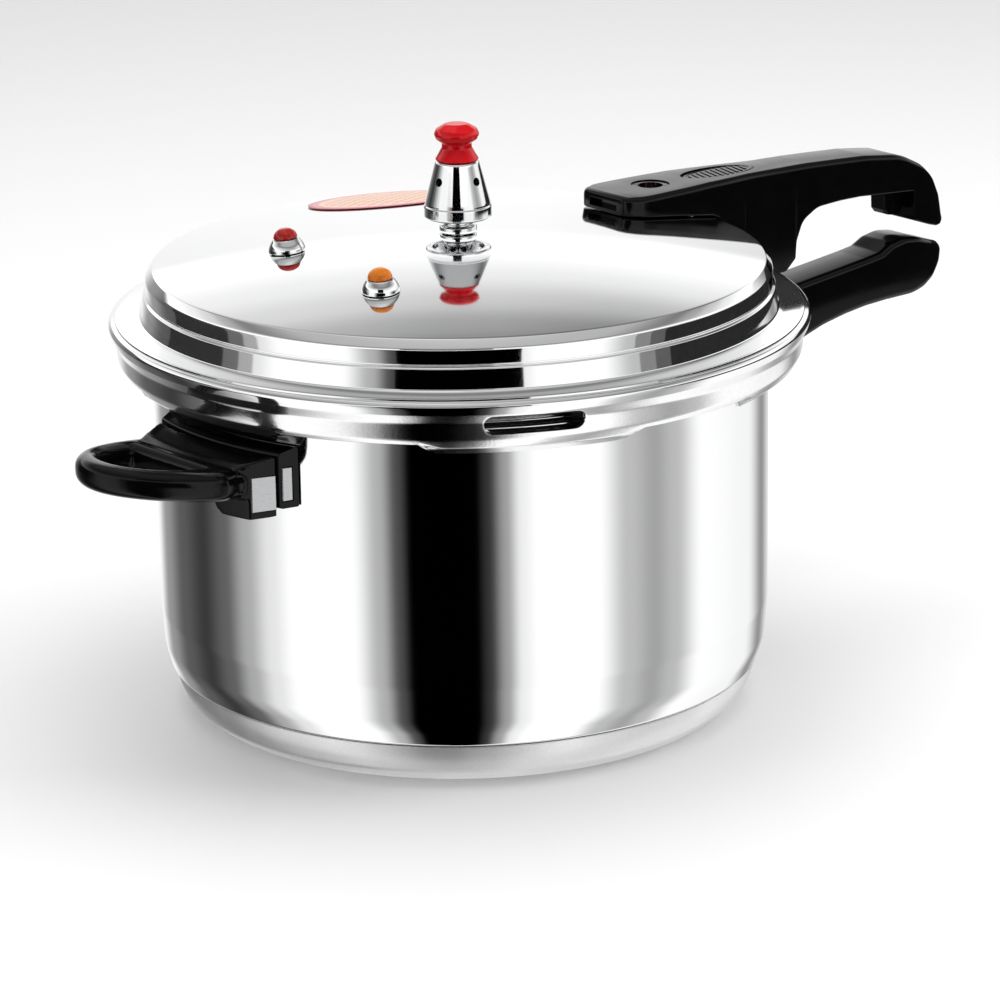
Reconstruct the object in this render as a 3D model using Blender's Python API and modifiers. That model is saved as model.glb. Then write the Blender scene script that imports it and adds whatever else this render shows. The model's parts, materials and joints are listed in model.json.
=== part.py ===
"""Stovetop pressure cooker with a bayonet lid, modelled with the lid on and locked.

The origin is the centre of the base's underside. +Z is up, and both long handles point along +X.
Dimensions are in millimetres, and the helpers below turn them into Blender's metres.
"""
from math import atan, cos, pi, radians, sin, sqrt

import bmesh
import bpy
import numpy as np
from mathutils import Matrix

MM = 0.001
WELD = 0.00001

# Driving dimensions: pot
POT_RADIUS = 123.0
POT_WALL = 2.5
POT_RIM_Z = 152.0
POT_FLOOR_Z = 8.2
CREASE_Z = 17.2
BASE_FLAT_RADIUS = 105.5
BASE_THICKNESS = 4.9

# Driving dimensions: bayonet
LUG_COUNT = 6
LUG_OFFSET = 3.5
POT_LUG_RADIUS = 130.5
POT_LUG_Z = (143.0, 147.0)
POT_LUG_ANGLE = 25.0
LID_LUG_ANGLE = 33.0
LID_LUG_TOP_Z = 144.4

# Driving dimensions: lid
LID_TOP_Z = 191.0
LID_SHEET = 2.8
DOME_RADIUS = 682.0
VENT_HOLE = 4.6
FLANGE_TOP_Z = 161.0
WINDOW_HALF_STRAIGHT = 15.5
WINDOW_RADIUS = 4.0
WINDOW_Z = 151.0
WINDOW_TURN = 120.0

# Driving dimensions: lid fittings
FLOAT_X = 100.3
FLOAT_HOLE = 4.3
VALVE_HOLE = 4.3
RED_VALVE = (68.4, 152.4)
AMBER_VALVE = (79.0, 209.9)
FRONT_SCREW = (112.0, 11.5)
REAR_SCREW_X = 161.5

# Driving dimensions: handles and lock
CHANNEL_HALF = 4.6
LOCK_HALF = 4.0
POT_HANDLE_SCREW_X = 152.0
KEEPER_X = 142.0
KEEPER_SCREW_X = 153.0
SIDE_AZIMUTH = 184.5
SIDE_HALF_ANGLE = 16.3
SIDE_SCREW_Z = 119.0
SIDE_SCREW_ANGLES = (SIDE_AZIMUTH - 7.5, SIDE_AZIMUTH + 7.5)
LOOP_RISE = 0.15

SHELL_STEPS = 36
SMALL_STEPS = 12

# Finishes: base colour, metallic, roughness
POLISHED_ALUMINIUM = ((0.86, 0.87, 0.88), 1.0, 0.06)
SATIN_ALUMINIUM = ((0.78, 0.79, 0.80), 1.0, 0.35)
STEEL = ((0.62, 0.63, 0.65), 1.0, 0.25)
CHROME = ((0.80, 0.80, 0.82), 1.0, 0.05)
BRASS = ((0.80, 0.62, 0.30), 1.0, 0.25)
BAKELITE = ((0.012, 0.012, 0.013), 0.0, 0.22)
RUBBER = ((0.03, 0.03, 0.03), 0.0, 0.60)
RED_PLASTIC = ((0.72, 0.01, 0.02), 0.0, 0.15)
AMBER_PLASTIC = ((0.90, 0.32, 0.02), 0.0, 0.12)
LABEL_PAPER = ((0.90, 0.62, 0.48), 0.0, 0.30)

for existing in list(bpy.data.objects):
    bpy.data.objects.remove(existing, do_unlink=True)

parts = bpy.data.collections.new("pressure_cooker")
cutters = bpy.data.collections.new("cutters")
bpy.context.scene.collection.children.link(parts)
bpy.context.scene.collection.children.link(cutters)
cutters.hide_render = True


# --- helpers ---------------------------------------------------------------------------------

def add(name, data, finish=None, parent=None):
    """Put a mesh or curve into the scene, as a part if it has a finish and as a cutter if not."""
    thing = bpy.data.objects.new(name, data)
    thing.parent = parent
    if finish is None:
        cutters.objects.link(thing)
        thing.hide_render = True
        thing.display_type = "WIRE"
        return thing
    parts.objects.link(thing)
    colour, metallic, roughness = finish
    material = bpy.data.materials.new(name + "_finish")
    material.use_nodes = True
    shader = material.node_tree.nodes["Principled BSDF"]
    shader.inputs["Base Color"].default_value = (*colour, 1.0)
    shader.inputs["Metallic"].default_value = metallic
    shader.inputs["Roughness"].default_value = roughness
    data.materials.append(material)
    return thing


def empty(name, location, tilt=(0.0, 0.0, 0.0)):
    """A seat that several small pieces share; location in millimetres."""
    seat = bpy.data.objects.new(name, None)
    seat.location = [value * MM for value in location]
    seat.rotation_euler = tilt
    parts.objects.link(seat)
    return seat


def turned(name, profile, finish=None, steps=SMALL_STEPS, ring=False, parent=None):
    """A solid of revolution about Z from (radius, z) points, down the outer side."""
    mesh = bpy.data.meshes.new(name)
    count = len(profile)
    edges = [(index, index + 1) for index in range(count - 1)]
    if ring:
        edges.append((count - 1, 0))
    mesh.from_pydata([(radius * MM, 0.0, z * MM) for radius, z in profile], edges, [])
    thing = add(name, mesh, finish, parent)
    screw = thing.modifiers.new("turn", "SCREW")
    screw.axis = "Z"
    screw.steps = steps
    screw.render_steps = steps
    screw.use_merge_vertices = True
    screw.merge_threshold = WELD
    screw.use_smooth_shade = True
    return thing


def curve_to_mesh(curve_object, finish=None):
    """Replace a curve object by a mesh object whose caps are welded on."""
    bpy.context.view_layer.update()
    evaluated = curve_object.evaluated_get(bpy.context.evaluated_depsgraph_get())
    mesh = bpy.data.meshes.new_from_object(evaluated)
    name = curve_object.name
    placement = curve_object.matrix_world.copy()
    bpy.data.objects.remove(curve_object, do_unlink=True)
    welded = bmesh.new()
    welded.from_mesh(mesh)
    bmesh.ops.remove_doubles(welded, verts=welded.verts, dist=WELD)
    welded.to_mesh(mesh)
    welded.free()
    thing = add(name, mesh, finish)
    thing.matrix_world = placement
    return thing


PLANES = {"XY": (0.0, 0.0, 0.0), "XZ": (pi / 2, 0.0, 0.0), "YZ": (pi / 2, 0.0, pi / 2)}


def plate(name, outlines, span, plane="XY", finish=None, bevel=0.0):
    """A flat outline, with any holes, drawn in one plane and given thickness across it."""
    curve = bpy.data.curves.new(name, "CURVE")
    curve.dimensions = "2D"
    curve.fill_mode = "BOTH"
    for outline in outlines:
        spline = curve.splines.new("POLY")
        spline.points.add(len(outline) - 1)
        for point, (across, up) in zip(spline.points, outline):
            point.co = (across * MM, up * MM, 0.0, 1.0)
        spline.use_cyclic_u = True
    low, high = span
    curve.extrude = (high - low) / 2 * MM
    drawn = bpy.data.objects.new(name, curve)
    cutters.objects.link(drawn)
    middle = (high + low) / 2 * MM
    drawn.rotation_euler = PLANES[plane]
    offsets = {"XY": (0.0, 0.0, middle), "XZ": (0.0, middle, 0.0), "YZ": (middle, 0.0, 0.0)}
    drawn.location = offsets[plane]
    thing = curve_to_mesh(drawn, finish)
    if bevel:
        round_edges(thing, bevel)
    return thing


def round_edges(thing, width, segments=2):
    """Round the sharp edges of a piece."""
    bevel = thing.modifiers.new("round", "BEVEL")
    bevel.width = width * MM
    bevel.segments = segments
    bevel.limit_method = "ANGLE"
    bevel.angle_limit = radians(40)


def block(name, x, y, z, finish=None, bevel=0.0):
    """A box between two limits on each axis."""
    mesh = bpy.data.meshes.new(name)
    shape = bmesh.new()
    bmesh.ops.create_cube(shape, size=1.0)
    for vertex in shape.verts:
        for axis, (low, high) in enumerate((x, y, z)):
            middle = (low + high) / 2
            vertex.co[axis] = (middle + vertex.co[axis] * (high - low)) * MM
    shape.to_mesh(mesh)
    shape.free()
    thing = add(name, mesh, finish)
    if bevel:
        round_edges(thing, bevel)
    return thing


def rod(name, radius, span, finish=None, steps=SMALL_STEPS, parent=None):
    """A plain cylinder along its own Z."""
    low, high = span
    profile = [(0.0, high), (radius, high), (radius, low), (0.0, low)]
    return turned(name, profile, finish, steps, parent=parent)


def hexagon_nut(name, radius, bore, span, finish, parent=None):
    """A six-sided nut with a round bore."""
    nut = rod(name, radius, span, finish, 6, parent)
    low, high = span
    cut(nut, rod(name + "_bore", bore, (low - 1.0, high + 1.0), parent=parent))
    return nut


def cut(target, cutter, operation="DIFFERENCE"):
    """Take the cutter away from the target, or join it on."""
    boolean = target.modifiers.new(cutter.name, "BOOLEAN")
    boolean.operation = operation
    boolean.solver = "EXACT"
    boolean.object = cutter


def arc(radius, start, end, pieces):
    """Points on a circle about the axis, angles in degrees."""
    angles = [radians(start + (end - start) * step / pieces) for step in range(pieces + 1)]
    return [(radius * cos(angle), radius * sin(angle)) for angle in angles]


def arc_block(name, radii, angles, span, finish=None, pieces=8, bevel=0.0, taper=0.0):
    """A block that bends round the axis between two radii and two angles.

    taper shortens its outer arc by that many degrees at each end.
    """
    inner, outer = radii
    start, end = angles
    outline = arc(outer, start + taper, end - taper, pieces) + arc(inner, end, start, pieces)
    return plate(name, [outline], span, "XY", finish, bevel)


def round_section(half_width, low, high, radius, steps=2):
    """A rectangle with rounded corners, as (y, z) points."""
    radius = min(radius, half_width * 0.95, (high - low) * 0.48)
    corners = ((1, high - radius, 0), (-1, high - radius, 90), (-1, low + radius, 180),
               (1, low + radius, 270))
    points = []
    for side, z, start in corners:
        for step in range(steps + 1):
            angle = radians(start + 90 * step / steps)
            y = side * (half_width - radius) + radius * cos(angle)
            points.append((y, z + radius * sin(angle)))
    return points


def loft(name, lows, highs, halves, corner, finish):
    """A long body along X, skinned over rounded sections.

    lows, highs and halves give the underside, the top and the half width as (x, value) points.
    """
    stations = sorted({x for x, _ in lows + highs + halves})
    shape = bmesh.new()
    rings = []
    for x in stations:
        low, high, half = (np.interp(x, *zip(*points)) for points in (lows, highs, halves))
        section = round_section(half, low, high, corner)
        rings.append([shape.verts.new((x * MM, y * MM, z * MM)) for y, z in section])
    for ring, following in zip(rings, rings[1:]):
        for index in range(len(ring)):
            after = (index + 1) % len(ring)
            shape.faces.new((ring[index], following[index], following[after], ring[after]))
    shape.faces.new(rings[0])
    shape.faces.new(list(reversed(rings[-1])))
    bmesh.ops.recalc_face_normals(shape, faces=shape.faces)
    mesh = bpy.data.meshes.new(name)
    shape.to_mesh(mesh)
    shape.free()
    return add(name, mesh, finish)


def spring(name, radius, wire, span, turns, finish, parent=None):
    """A round-wire coil spring along its own Z."""
    low, high = (span[0] + wire / 2, span[1] - wire / 2)
    steps = int(turns * 8)
    curve = bpy.data.curves.new(name, "CURVE")
    curve.dimensions = "3D"
    curve.bevel_depth = wire / 2 * MM
    curve.bevel_resolution = 1
    curve.use_fill_caps = True
    spline = curve.splines.new("POLY")
    spline.points.add(steps)
    for index, point in enumerate(spline.points):
        angle = 2 * pi * turns * index / steps
        height = low + (high - low) * index / steps
        point.co = (radius * cos(angle) * MM, radius * sin(angle) * MM, height * MM, 1.0)
    return add(name, curve, finish, parent)


def dome_z(radius):
    """Height of the lid's outer surface on its domed middle."""
    return LID_TOP_Z - radius * radius / (2 * DOME_RADIUS)


def lug_angles(width, between=False):
    """Start and end angle of each lug, or of each gap between two lugs."""
    pitch = 360.0 / LUG_COUNT
    shift = pitch / 2 if between else 0.0
    half = (pitch - width if between else width) / 2
    centres = [LUG_OFFSET + shift + pitch * index for index in range(LUG_COUNT)]
    return [(centre - half, centre + half) for centre in centres]


def smooth(thing):
    """Shade a mesh's faces smooth, with its sharp edges kept."""
    if isinstance(thing.data, bpy.types.Mesh) and len(thing.data.polygons):
        thing.data.shade_smooth()
        thing.data.set_sharp_from_angle(angle=radians(35))


# --- pot -------------------------------------------------------------------------------------

def make_pot_body():
    """Deep-drawn pot with six locking lugs below its rim."""
    inner = POT_RADIUS - POT_WALL
    low, high = POT_LUG_Z
    profile = [(0.0, POT_FLOOR_Z), (100.0, POT_FLOOR_Z), (106.0, 10.0), (111.0, 14.4), (115.6, 20.6),
               (118.8, 29.0), (inner, 39.0), (inner, POT_RIM_Z - 0.6), (inner + 0.6, POT_RIM_Z),
               (POT_RADIUS - 0.6, POT_RIM_Z), (POT_RADIUS, POT_RIM_Z - 0.6), (POT_RADIUS, high + 0.8),
               (POT_RADIUS + 1.0, high), (POT_LUG_RADIUS, high), (POT_LUG_RADIUS, low),
               (POT_RADIUS + 1.0, low), (POT_RADIUS, low - 0.8), (POT_RADIUS, 38.0), (122.6, 30.0),
               (121.4, 22.0), (119.4, CREASE_Z + 0.8), (115.0, CREASE_Z + 0.4), (112.6, 11.0),
               (109.8, 7.4), (105.0, BASE_THICKNESS + 0.3), (0.0, BASE_THICKNESS + 0.3)]
    pot = turned("pot_body", profile, POLISHED_ALUMINIUM, SHELL_STEPS)
    bead = POT_RADIUS + 0.6
    for number, angles in enumerate(lug_angles(POT_LUG_ANGLE, between=True), 1):
        name = f"pot_lug_gap_{number}"
        cut(pot, arc_block(name, (bead, POT_LUG_RADIUS + 3.0), angles, (low - 2.0, high + 2.0), pieces=5))


def make_base_plate():
    """Thick cup-shaped base bonded under the pot."""
    turned("base_plate", [(0.0, BASE_THICKNESS), (105.2, BASE_THICKNESS), (110.2, 7.2), (113.0, 10.9),
                          (115.1, CREASE_Z), (118.0, CREASE_Z), (117.4, 12.6), (115.2, 7.4),
                          (112.0, 3.4), (107.8, 0.6), (BASE_FLAT_RADIUS, 0.0), (0.0, 0.0)],
           SATIN_ALUMINIUM, SHELL_STEPS)


def make_pot_handle():
    """Lower long handle, with the bracket that holds it to the wall and the lock's keeper."""
    lows = [(126.2, 99.0), (140.0, 103.0), (160.0, 110.5), (178.0, 117.0), (189.0, 120.4), (202.0, 122.9),
            (214.0, 124.4), (226.0, 125.0), (241.5, 125.2), (248.0, 126.8), (254.0, 130.2), (257.4, 134.7),
            (259.4, 139.4)]
    highs = [(126.2, 136.0), (158.6, 136.0), (161.5, 139.6), (176.0, 141.4), (197.0, 143.7), (214.0, 145.6),
             (222.0, 146.6), (226.0, 148.4), (230.0, 150.4), (236.0, 151.2), (243.0, 150.4), (252.0, 147.4),
             (257.4, 145.8), (259.4, 144.2)]
    halves = [(126.2, 15.0), (140.0, 13.5), (160.0, 11.4), (178.0, 11.0), (248.0, 11.0), (257.4, 9.4),
              (259.4, 7.6)]
    handle = loft("pot_handle", lows, highs, halves, 3.2, BAKELITE)
    cut(handle, block("tongue_pocket", (120.0, 166.6), (-6.4, 6.4), (115.6, 119.4)))
    cut(handle, block("keeper_seat", (120.0, 158.3), (-16.0, 16.0), (135.95, 150.0)))
    screw_seat = empty("pot_handle_screw_seat", (POT_HANDLE_SCREW_X, 0.0, 0.0))
    cut(handle, rod("pot_handle_head_bore", 4.0, (98.0, 111.3), parent=screw_seat))
    cut(handle, rod("pot_handle_screw_bore", 2.3, (105.0, 125.0), parent=screw_seat))
    keeper_seat = empty("keeper_screw_seat", (KEEPER_SCREW_X, 0.0, 0.0))
    cut(handle, rod("keeper_thread_bore", 1.8, (127.6, 140.0), parent=keeper_seat))

    bracket = arc_block("pot_handle_bracket", (123.5, 125.6), (-8.0, 8.0), (101.0, 133.0), STEEL, 6)
    cut(bracket, block("bracket_tongue", (124.6, 166.0), (-6.0, 6.0), (116.0, 119.0)), "UNION")
    cut(bracket, rod("tongue_hole", 2.3, (114.0, 121.0), parent=screw_seat))

    turned("pot_handle_screw", [(0.0, 124.4), (2.0, 124.4), (2.0, 111.0), (3.6, 110.6), (3.6, 108.7),
                                (0.0, 108.7)], STEEL, parent=screw_seat)

    x = KEEPER_X
    outline = [(x, 136.3), (x + 16.0, 136.3), (x + 16.0, 137.8), (x + 1.8, 137.8), (x + 1.8, 146.5),
               (x, 146.5)]
    keeper = plate("lock_keeper", [outline], (-10.0, 10.0), "XZ", STEEL)
    cut(keeper, block("keeper_notch", (x - 2.0, x + 4.0), (-4.8, 4.8), (142.6, 150.0)))
    cut(keeper, rod("keeper_hole", 1.8, (134.0, 140.0), parent=keeper_seat))
    turned("keeper_screw", [(0.0, 139.8), (1.9, 139.6), (2.9, 138.1), (1.5, 138.1), (1.5, 128.0),
                            (0.0, 128.0)], STEEL, parent=keeper_seat)


def make_side_handle():
    """Short helper handle: a rear block on the wall and a looped grip in front of it."""
    angles = (SIDE_AZIMUTH - SIDE_HALF_ANGLE, SIDE_AZIMUTH + SIDE_HALF_ANGLE)
    wide = (angles[0] - 4.0, angles[1] + 4.0)
    base = arc_block("side_handle_base", (123.5, 130.6), angles, (111.5, 135.6), BAKELITE, 12, 0.8)
    strap = arc_block("side_handle_strap", (126.0, 129.2), angles, (114.6, 127.6), STEEL, 12)
    cut(base, arc_block("strap_slot", (125.7, 129.6), wide, (114.3, 127.9), pieces=14))

    saddle = (angles[0] + 0.8, angles[1] - 0.8)
    grip = arc_block("side_handle_grip", (131.0, 140.4), saddle, (108.6, 132.6), BAKELITE, 12, 0.8, 2.8)
    middle = (SIDE_AZIMUTH - 10.0, SIDE_AZIMUTH + 10.0)
    arch = arc_block("saddle_arch", (129.0, 146.0), middle, (100.0, 110.6))
    outer_half, outer_reach, root = 35.4, 53.5, 135.5
    outline = [(-root - outer_reach * sin(radians(step)), outer_half * cos(radians(step)))
               for step in range(0, 181, 15)]
    hole_start, hole_reach = 150.0, 27.0
    hole = [(-hole_start - hole_reach * sin(radians(step)) ** 0.7, 20.7 * cos(radians(step)) + 2.3)
            for step in range(0, 181, 20)]
    loop = plate("grip_loop", [outline, hole], (117.4, 129.0), "XY", bevel=3.6)
    turn = Matrix.Rotation(radians(SIDE_AZIMUTH - 180.0), 3, "Z")
    for vertex in loop.data.vertices:
        vertex.co.z -= LOOP_RISE * (vertex.co.x + 140.0 * MM)
        vertex.co = turn @ vertex.co
    cut(grip, loop, "UNION")
    cut(grip, arch)
    flush = (saddle[0] + 0.3, saddle[1] - 0.3)
    insert = arc_block("side_handle_insert", (132.0, 139.2), flush, (111.6, 125.0), STEEL, 12, 0.0, 2.1)
    cut(grip, arc_block("insert_slot", (131.7, 139.5), wide, (111.3, 125.3), pieces=14))

    for side, azimuth in zip(("left", "right"), SIDE_SCREW_ANGLES):
        seat = empty(f"side_screw_{side}_seat", (0.0, 0.0, SIDE_SCREW_Z), (0.0, pi / 2, radians(azimuth)))
        for piece, reach in ((grip, 142.6), (insert, 142.6), (base, 134.0), (strap, 134.0)):
            bore = rod(f"{piece.name}_{side}_bore", 2.3, (122.0, reach), parent=seat)
            cut(piece, bore)
        cut(base, rod(f"side_handle_{side}_head_bore", 3.9, (122.0, 125.9), parent=seat))
        turned(f"side_handle_screw_{side}", [(0.0, 142.0), (2.0, 142.0), (2.0, 125.7), (3.5, 125.7),
                                             (3.5, 124.1), (0.0, 124.1)], STEEL, parent=seat)


# --- lid -------------------------------------------------------------------------------------

def make_lid_shell():
    """Domed lid whose skirt turns in under the pot's lugs."""
    dome = [(radius, dome_z(radius)) for radius in (VENT_HOLE, 30.0, 60.0, 90.0, 118.0)]
    shoulder = [(121.6, 179.8), (123.2, 178.8), (124.4, 176.6), (124.8, 174.0), (124.7, 171.4),
                (124.3, 170.3), (126.2, 169.2), (126.9, 167.8), (127.0, 162.2)]
    flange = [(128.2, FLANGE_TOP_Z), (137.0, FLANGE_TOP_Z), (139.2, 160.2), (140.0, 158.4), (139.2, 156.0),
              (137.8, 153.0), (137.0, 148.0), (136.4, LID_LUG_TOP_Z), (134.3, 141.2), (131.4, 138.8),
              (128.0, 137.0), (126.0, 137.0)]
    inside = [(126.0, 139.8), (129.6, 140.4), (132.2, 143.0), (133.6, 146.0), (134.4, 150.0), (134.9, 154.0),
              (135.6, 157.4), (134.8, 158.2), (125.2, 158.2), (124.3, 159.0), (124.1, 166.6), (123.0, 167.6),
              (121.7, 169.0), (121.9, 172.0), (121.9, 174.8), (121.0, 176.6)]
    ceiling = [(radius, dome_z(radius) - LID_SHEET) for radius in (117.0, 90.0, 60.0, 30.0, VENT_HOLE)]
    lid = turned("lid_shell", dome + shoulder + flange + inside + ceiling, POLISHED_ALUMINIUM, SHELL_STEPS,
                 ring=True)
    for number, angles in enumerate(lug_angles(LID_LUG_ANGLE, between=True), 1):
        name = f"lid_lug_gap_{number}"
        cut(lid, arc_block(name, (120.0, 145.0), angles, (130.0, LID_LUG_TOP_Z), pieces=6))
    window = []
    for centre, start in ((-WINDOW_HALF_STRAIGHT, 90), (WINDOW_HALF_STRAIGHT, -90)):
        for step in range(start, start + 181, 30):
            angle = radians(step)
            window.append((centre + WINDOW_RADIUS * cos(angle), WINDOW_Z + WINDOW_RADIUS * sin(angle)))
    relief = plate("relief_window", [window], (128.0, 148.0), "YZ")
    turn = empty("relief_window_seat", (0.0, 0.0, 0.0), (0.0, 0.0, radians(LUG_OFFSET - WINDOW_TURN)))
    relief.parent = turn
    cut(lid, relief)
    for radius, azimuth, name in ((*RED_VALVE, "red"), (*AMBER_VALVE, "amber")):
        seat = valve_seat(name, radius, azimuth)
        cut(lid, rod(f"{name}_valve_hole", VALVE_HOLE, (-12.0, 6.0), parent=seat))
    float_seat = empty("float_hole_seat", (FLOAT_X, 0.0, 0.0))
    cut(lid, rod("float_hole", FLOAT_HOLE, (168.0, 195.0), parent=float_seat))
    for side in (-1, 1):
        seat = empty(f"front_screw_hole_{side}", (FRONT_SCREW[0], side * FRONT_SCREW[1], 0.0))
        cut(lid, rod(f"front_screw_hole_cut_{side}", 2.2, (170.0, 190.0), parent=seat))


def valve_seat(name, radius, azimuth):
    """A seat on the dome whose Z stands square to the surface."""
    angle = radians(azimuth)
    location = (radius * cos(angle), radius * sin(angle), dome_z(radius))
    return empty(f"{name}_valve_seat", location, (0.0, atan(radius / DOME_RADIUS), angle))


def make_gasket():
    """Soft ring that seals the lid's flange on the pot's rim."""
    turned("gasket", [(119.4, 156.6), (120.4, 157.6), (133.2, 157.6), (134.2, 156.4), (134.2, 153.4),
                      (133.2, 152.4), (120.4, 152.4), (119.4, 153.4)], RUBBER, SHELL_STEPS, ring=True)


def make_lid_label():
    """Thin oval label stuck on the dome."""
    length, width, centre_radius, azimuth, cells = 67.0, 50.0, 86.0, radians(72.0), 8
    shape = bmesh.new()
    bmesh.ops.create_grid(shape, x_segments=cells, y_segments=cells, size=1.0)
    for vertex in shape.verts:
        x, y = vertex.co.x, vertex.co.y
        across = x * sqrt(1 - y * y / 2) * length / 2
        along = y * sqrt(1 - x * x / 2) * width / 2 + centre_radius
        radius = sqrt(across * across + along * along)
        vertex.co.x = (along * cos(azimuth) + across * sin(azimuth)) * MM
        vertex.co.y = (along * sin(azimuth) - across * cos(azimuth)) * MM
        vertex.co.z = (dome_z(radius) + 0.3) * MM
    mesh = bpy.data.meshes.new("lid_label")
    shape.to_mesh(mesh)
    shape.free()
    label = add("lid_label", mesh, LABEL_PAPER)
    thickness = label.modifiers.new("thickness", "SOLIDIFY")
    thickness.thickness = 0.3 * MM
    thickness.offset = 1.0


def make_vent_pipe():
    """Steam pipe through the middle of the lid, its nut, and the cap that keeps food out."""
    turned("vent_pipe", [(1.5, 213.7), (1.9, 213.7), (3.0, 212.5), (3.0, 197.2), (5.8, 196.8), (5.8, 194.4),
                         (7.5, 194.1), (7.5, 191.3), (4.2, 191.3), (4.2, 180.5), (1.5, 180.5)],
           CHROME, 16, ring=True)
    hexagon_nut("vent_nut", 9.0, 4.5, (183.4, 187.6), STEEL)
    cap = turned("anti_clog_cap", [(0.0, 174.9), (6.5, 174.9), (6.5, 182.2), (4.7, 182.2), (4.7, 183.1),
                                   (7.5, 183.1), (7.5, 174.6), (6.9, 174.0), (0.0, 174.0)], STEEL)
    cut(cap, block("cap_slot_x", (-12.0, 12.0), (-1.2, 1.2), (176.4, 180.6)))
    cut(cap, block("cap_slot_y", (-1.2, 1.2), (-12.0, 12.0), (176.4, 180.6)))


def make_weight():
    """Pressure weight: bell-shaped body, needle, knob, and the clip that grips the pipe."""
    body = turned("weight_body", [(2.6, 220.2), (8.4, 220.2), (8.8, 219.7), (13.2, 203.0), (13.45, 202.2),
                                  (13.45, 197.8), (12.9, 197.3), (10.5, 197.3), (10.5, 200.0), (6.2, 206.0),
                                  (6.2, 216.4), (2.6, 216.4)], CHROME, 16, ring=True)
    for number in range(2):
        turn = empty(f"steam_hole_seat_{number}", (0.0, 0.0, 213.6), (pi / 2, 0.0, radians(8 + 90 * number)))
        cut(body, rod(f"steam_hole_{number}", 1.75, (-14.0, 14.0), steps=12, parent=turn))
    turned("weight_needle", [(0.0, 228.6), (2.2, 228.6), (2.2, 215.9), (1.2, 214.3), (0.0, 214.1)], BRASS)
    turned("weight_knob", [(0.0, 235.0), (3.6, 234.8), (6.8, 233.9), (8.6, 232.4), (9.05, 230.9),
                           (8.5, 229.2), (6.9, 227.6), (5.9, 226.6), (6.2, 224.6), (8.1, 221.4),
                           (8.5, 220.5), (2.6, 220.5), (2.6, 229.0), (0.0, 229.0)], RED_PLASTIC, 16)
    turned("weight_clip", [(3.5, 208.4), (5.8, 208.4), (5.8, 207.2), (3.5, 207.2)], STEEL, ring=True)


def make_safety_valve(name, radius, azimuth, cap_finish):
    """Spring-loaded safety valve: body, coloured cap, nut, spring and plunger."""
    seat = valve_seat(f"{name}_parts", radius, azimuth)
    turned(f"{name}_valve_body", [(2.9, 5.2), (5.0, 5.2), (5.4, 4.9), (6.6, 3.2), (7.3, 1.6), (7.4, 0.35),
                                  (3.9, 0.35), (3.9, -10.5), (1.6, -10.5), (1.6, -9.3), (2.9, -9.3)],
           CHROME, 16, ring=True, parent=seat)
    turned(f"{name}_valve_cap", [(0.0, 9.2), (2.4, 8.7), (4.0, 7.5), (4.8, 5.9), (4.9, 5.5), (2.5, 5.5),
                                 (2.5, 4.2), (0.0, 4.2)], cap_finish, 16, parent=seat)
    hexagon_nut(f"{name}_valve_nut", 7.2, 4.2, (-6.6, -3.2), STEEL, parent=seat)
    turned(f"{name}_valve_plunger", [(0.0, -4.0), (1.1, -4.0), (1.1, -7.4), (2.4, -7.4), (2.4, -8.9),
                                     (0.0, -8.9)], BRASS, parent=seat)
    spring(f"{name}_valve_spring", 1.9, 0.5, (-7.1, 3.9), 4.0, STEEL, parent=seat)


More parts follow.
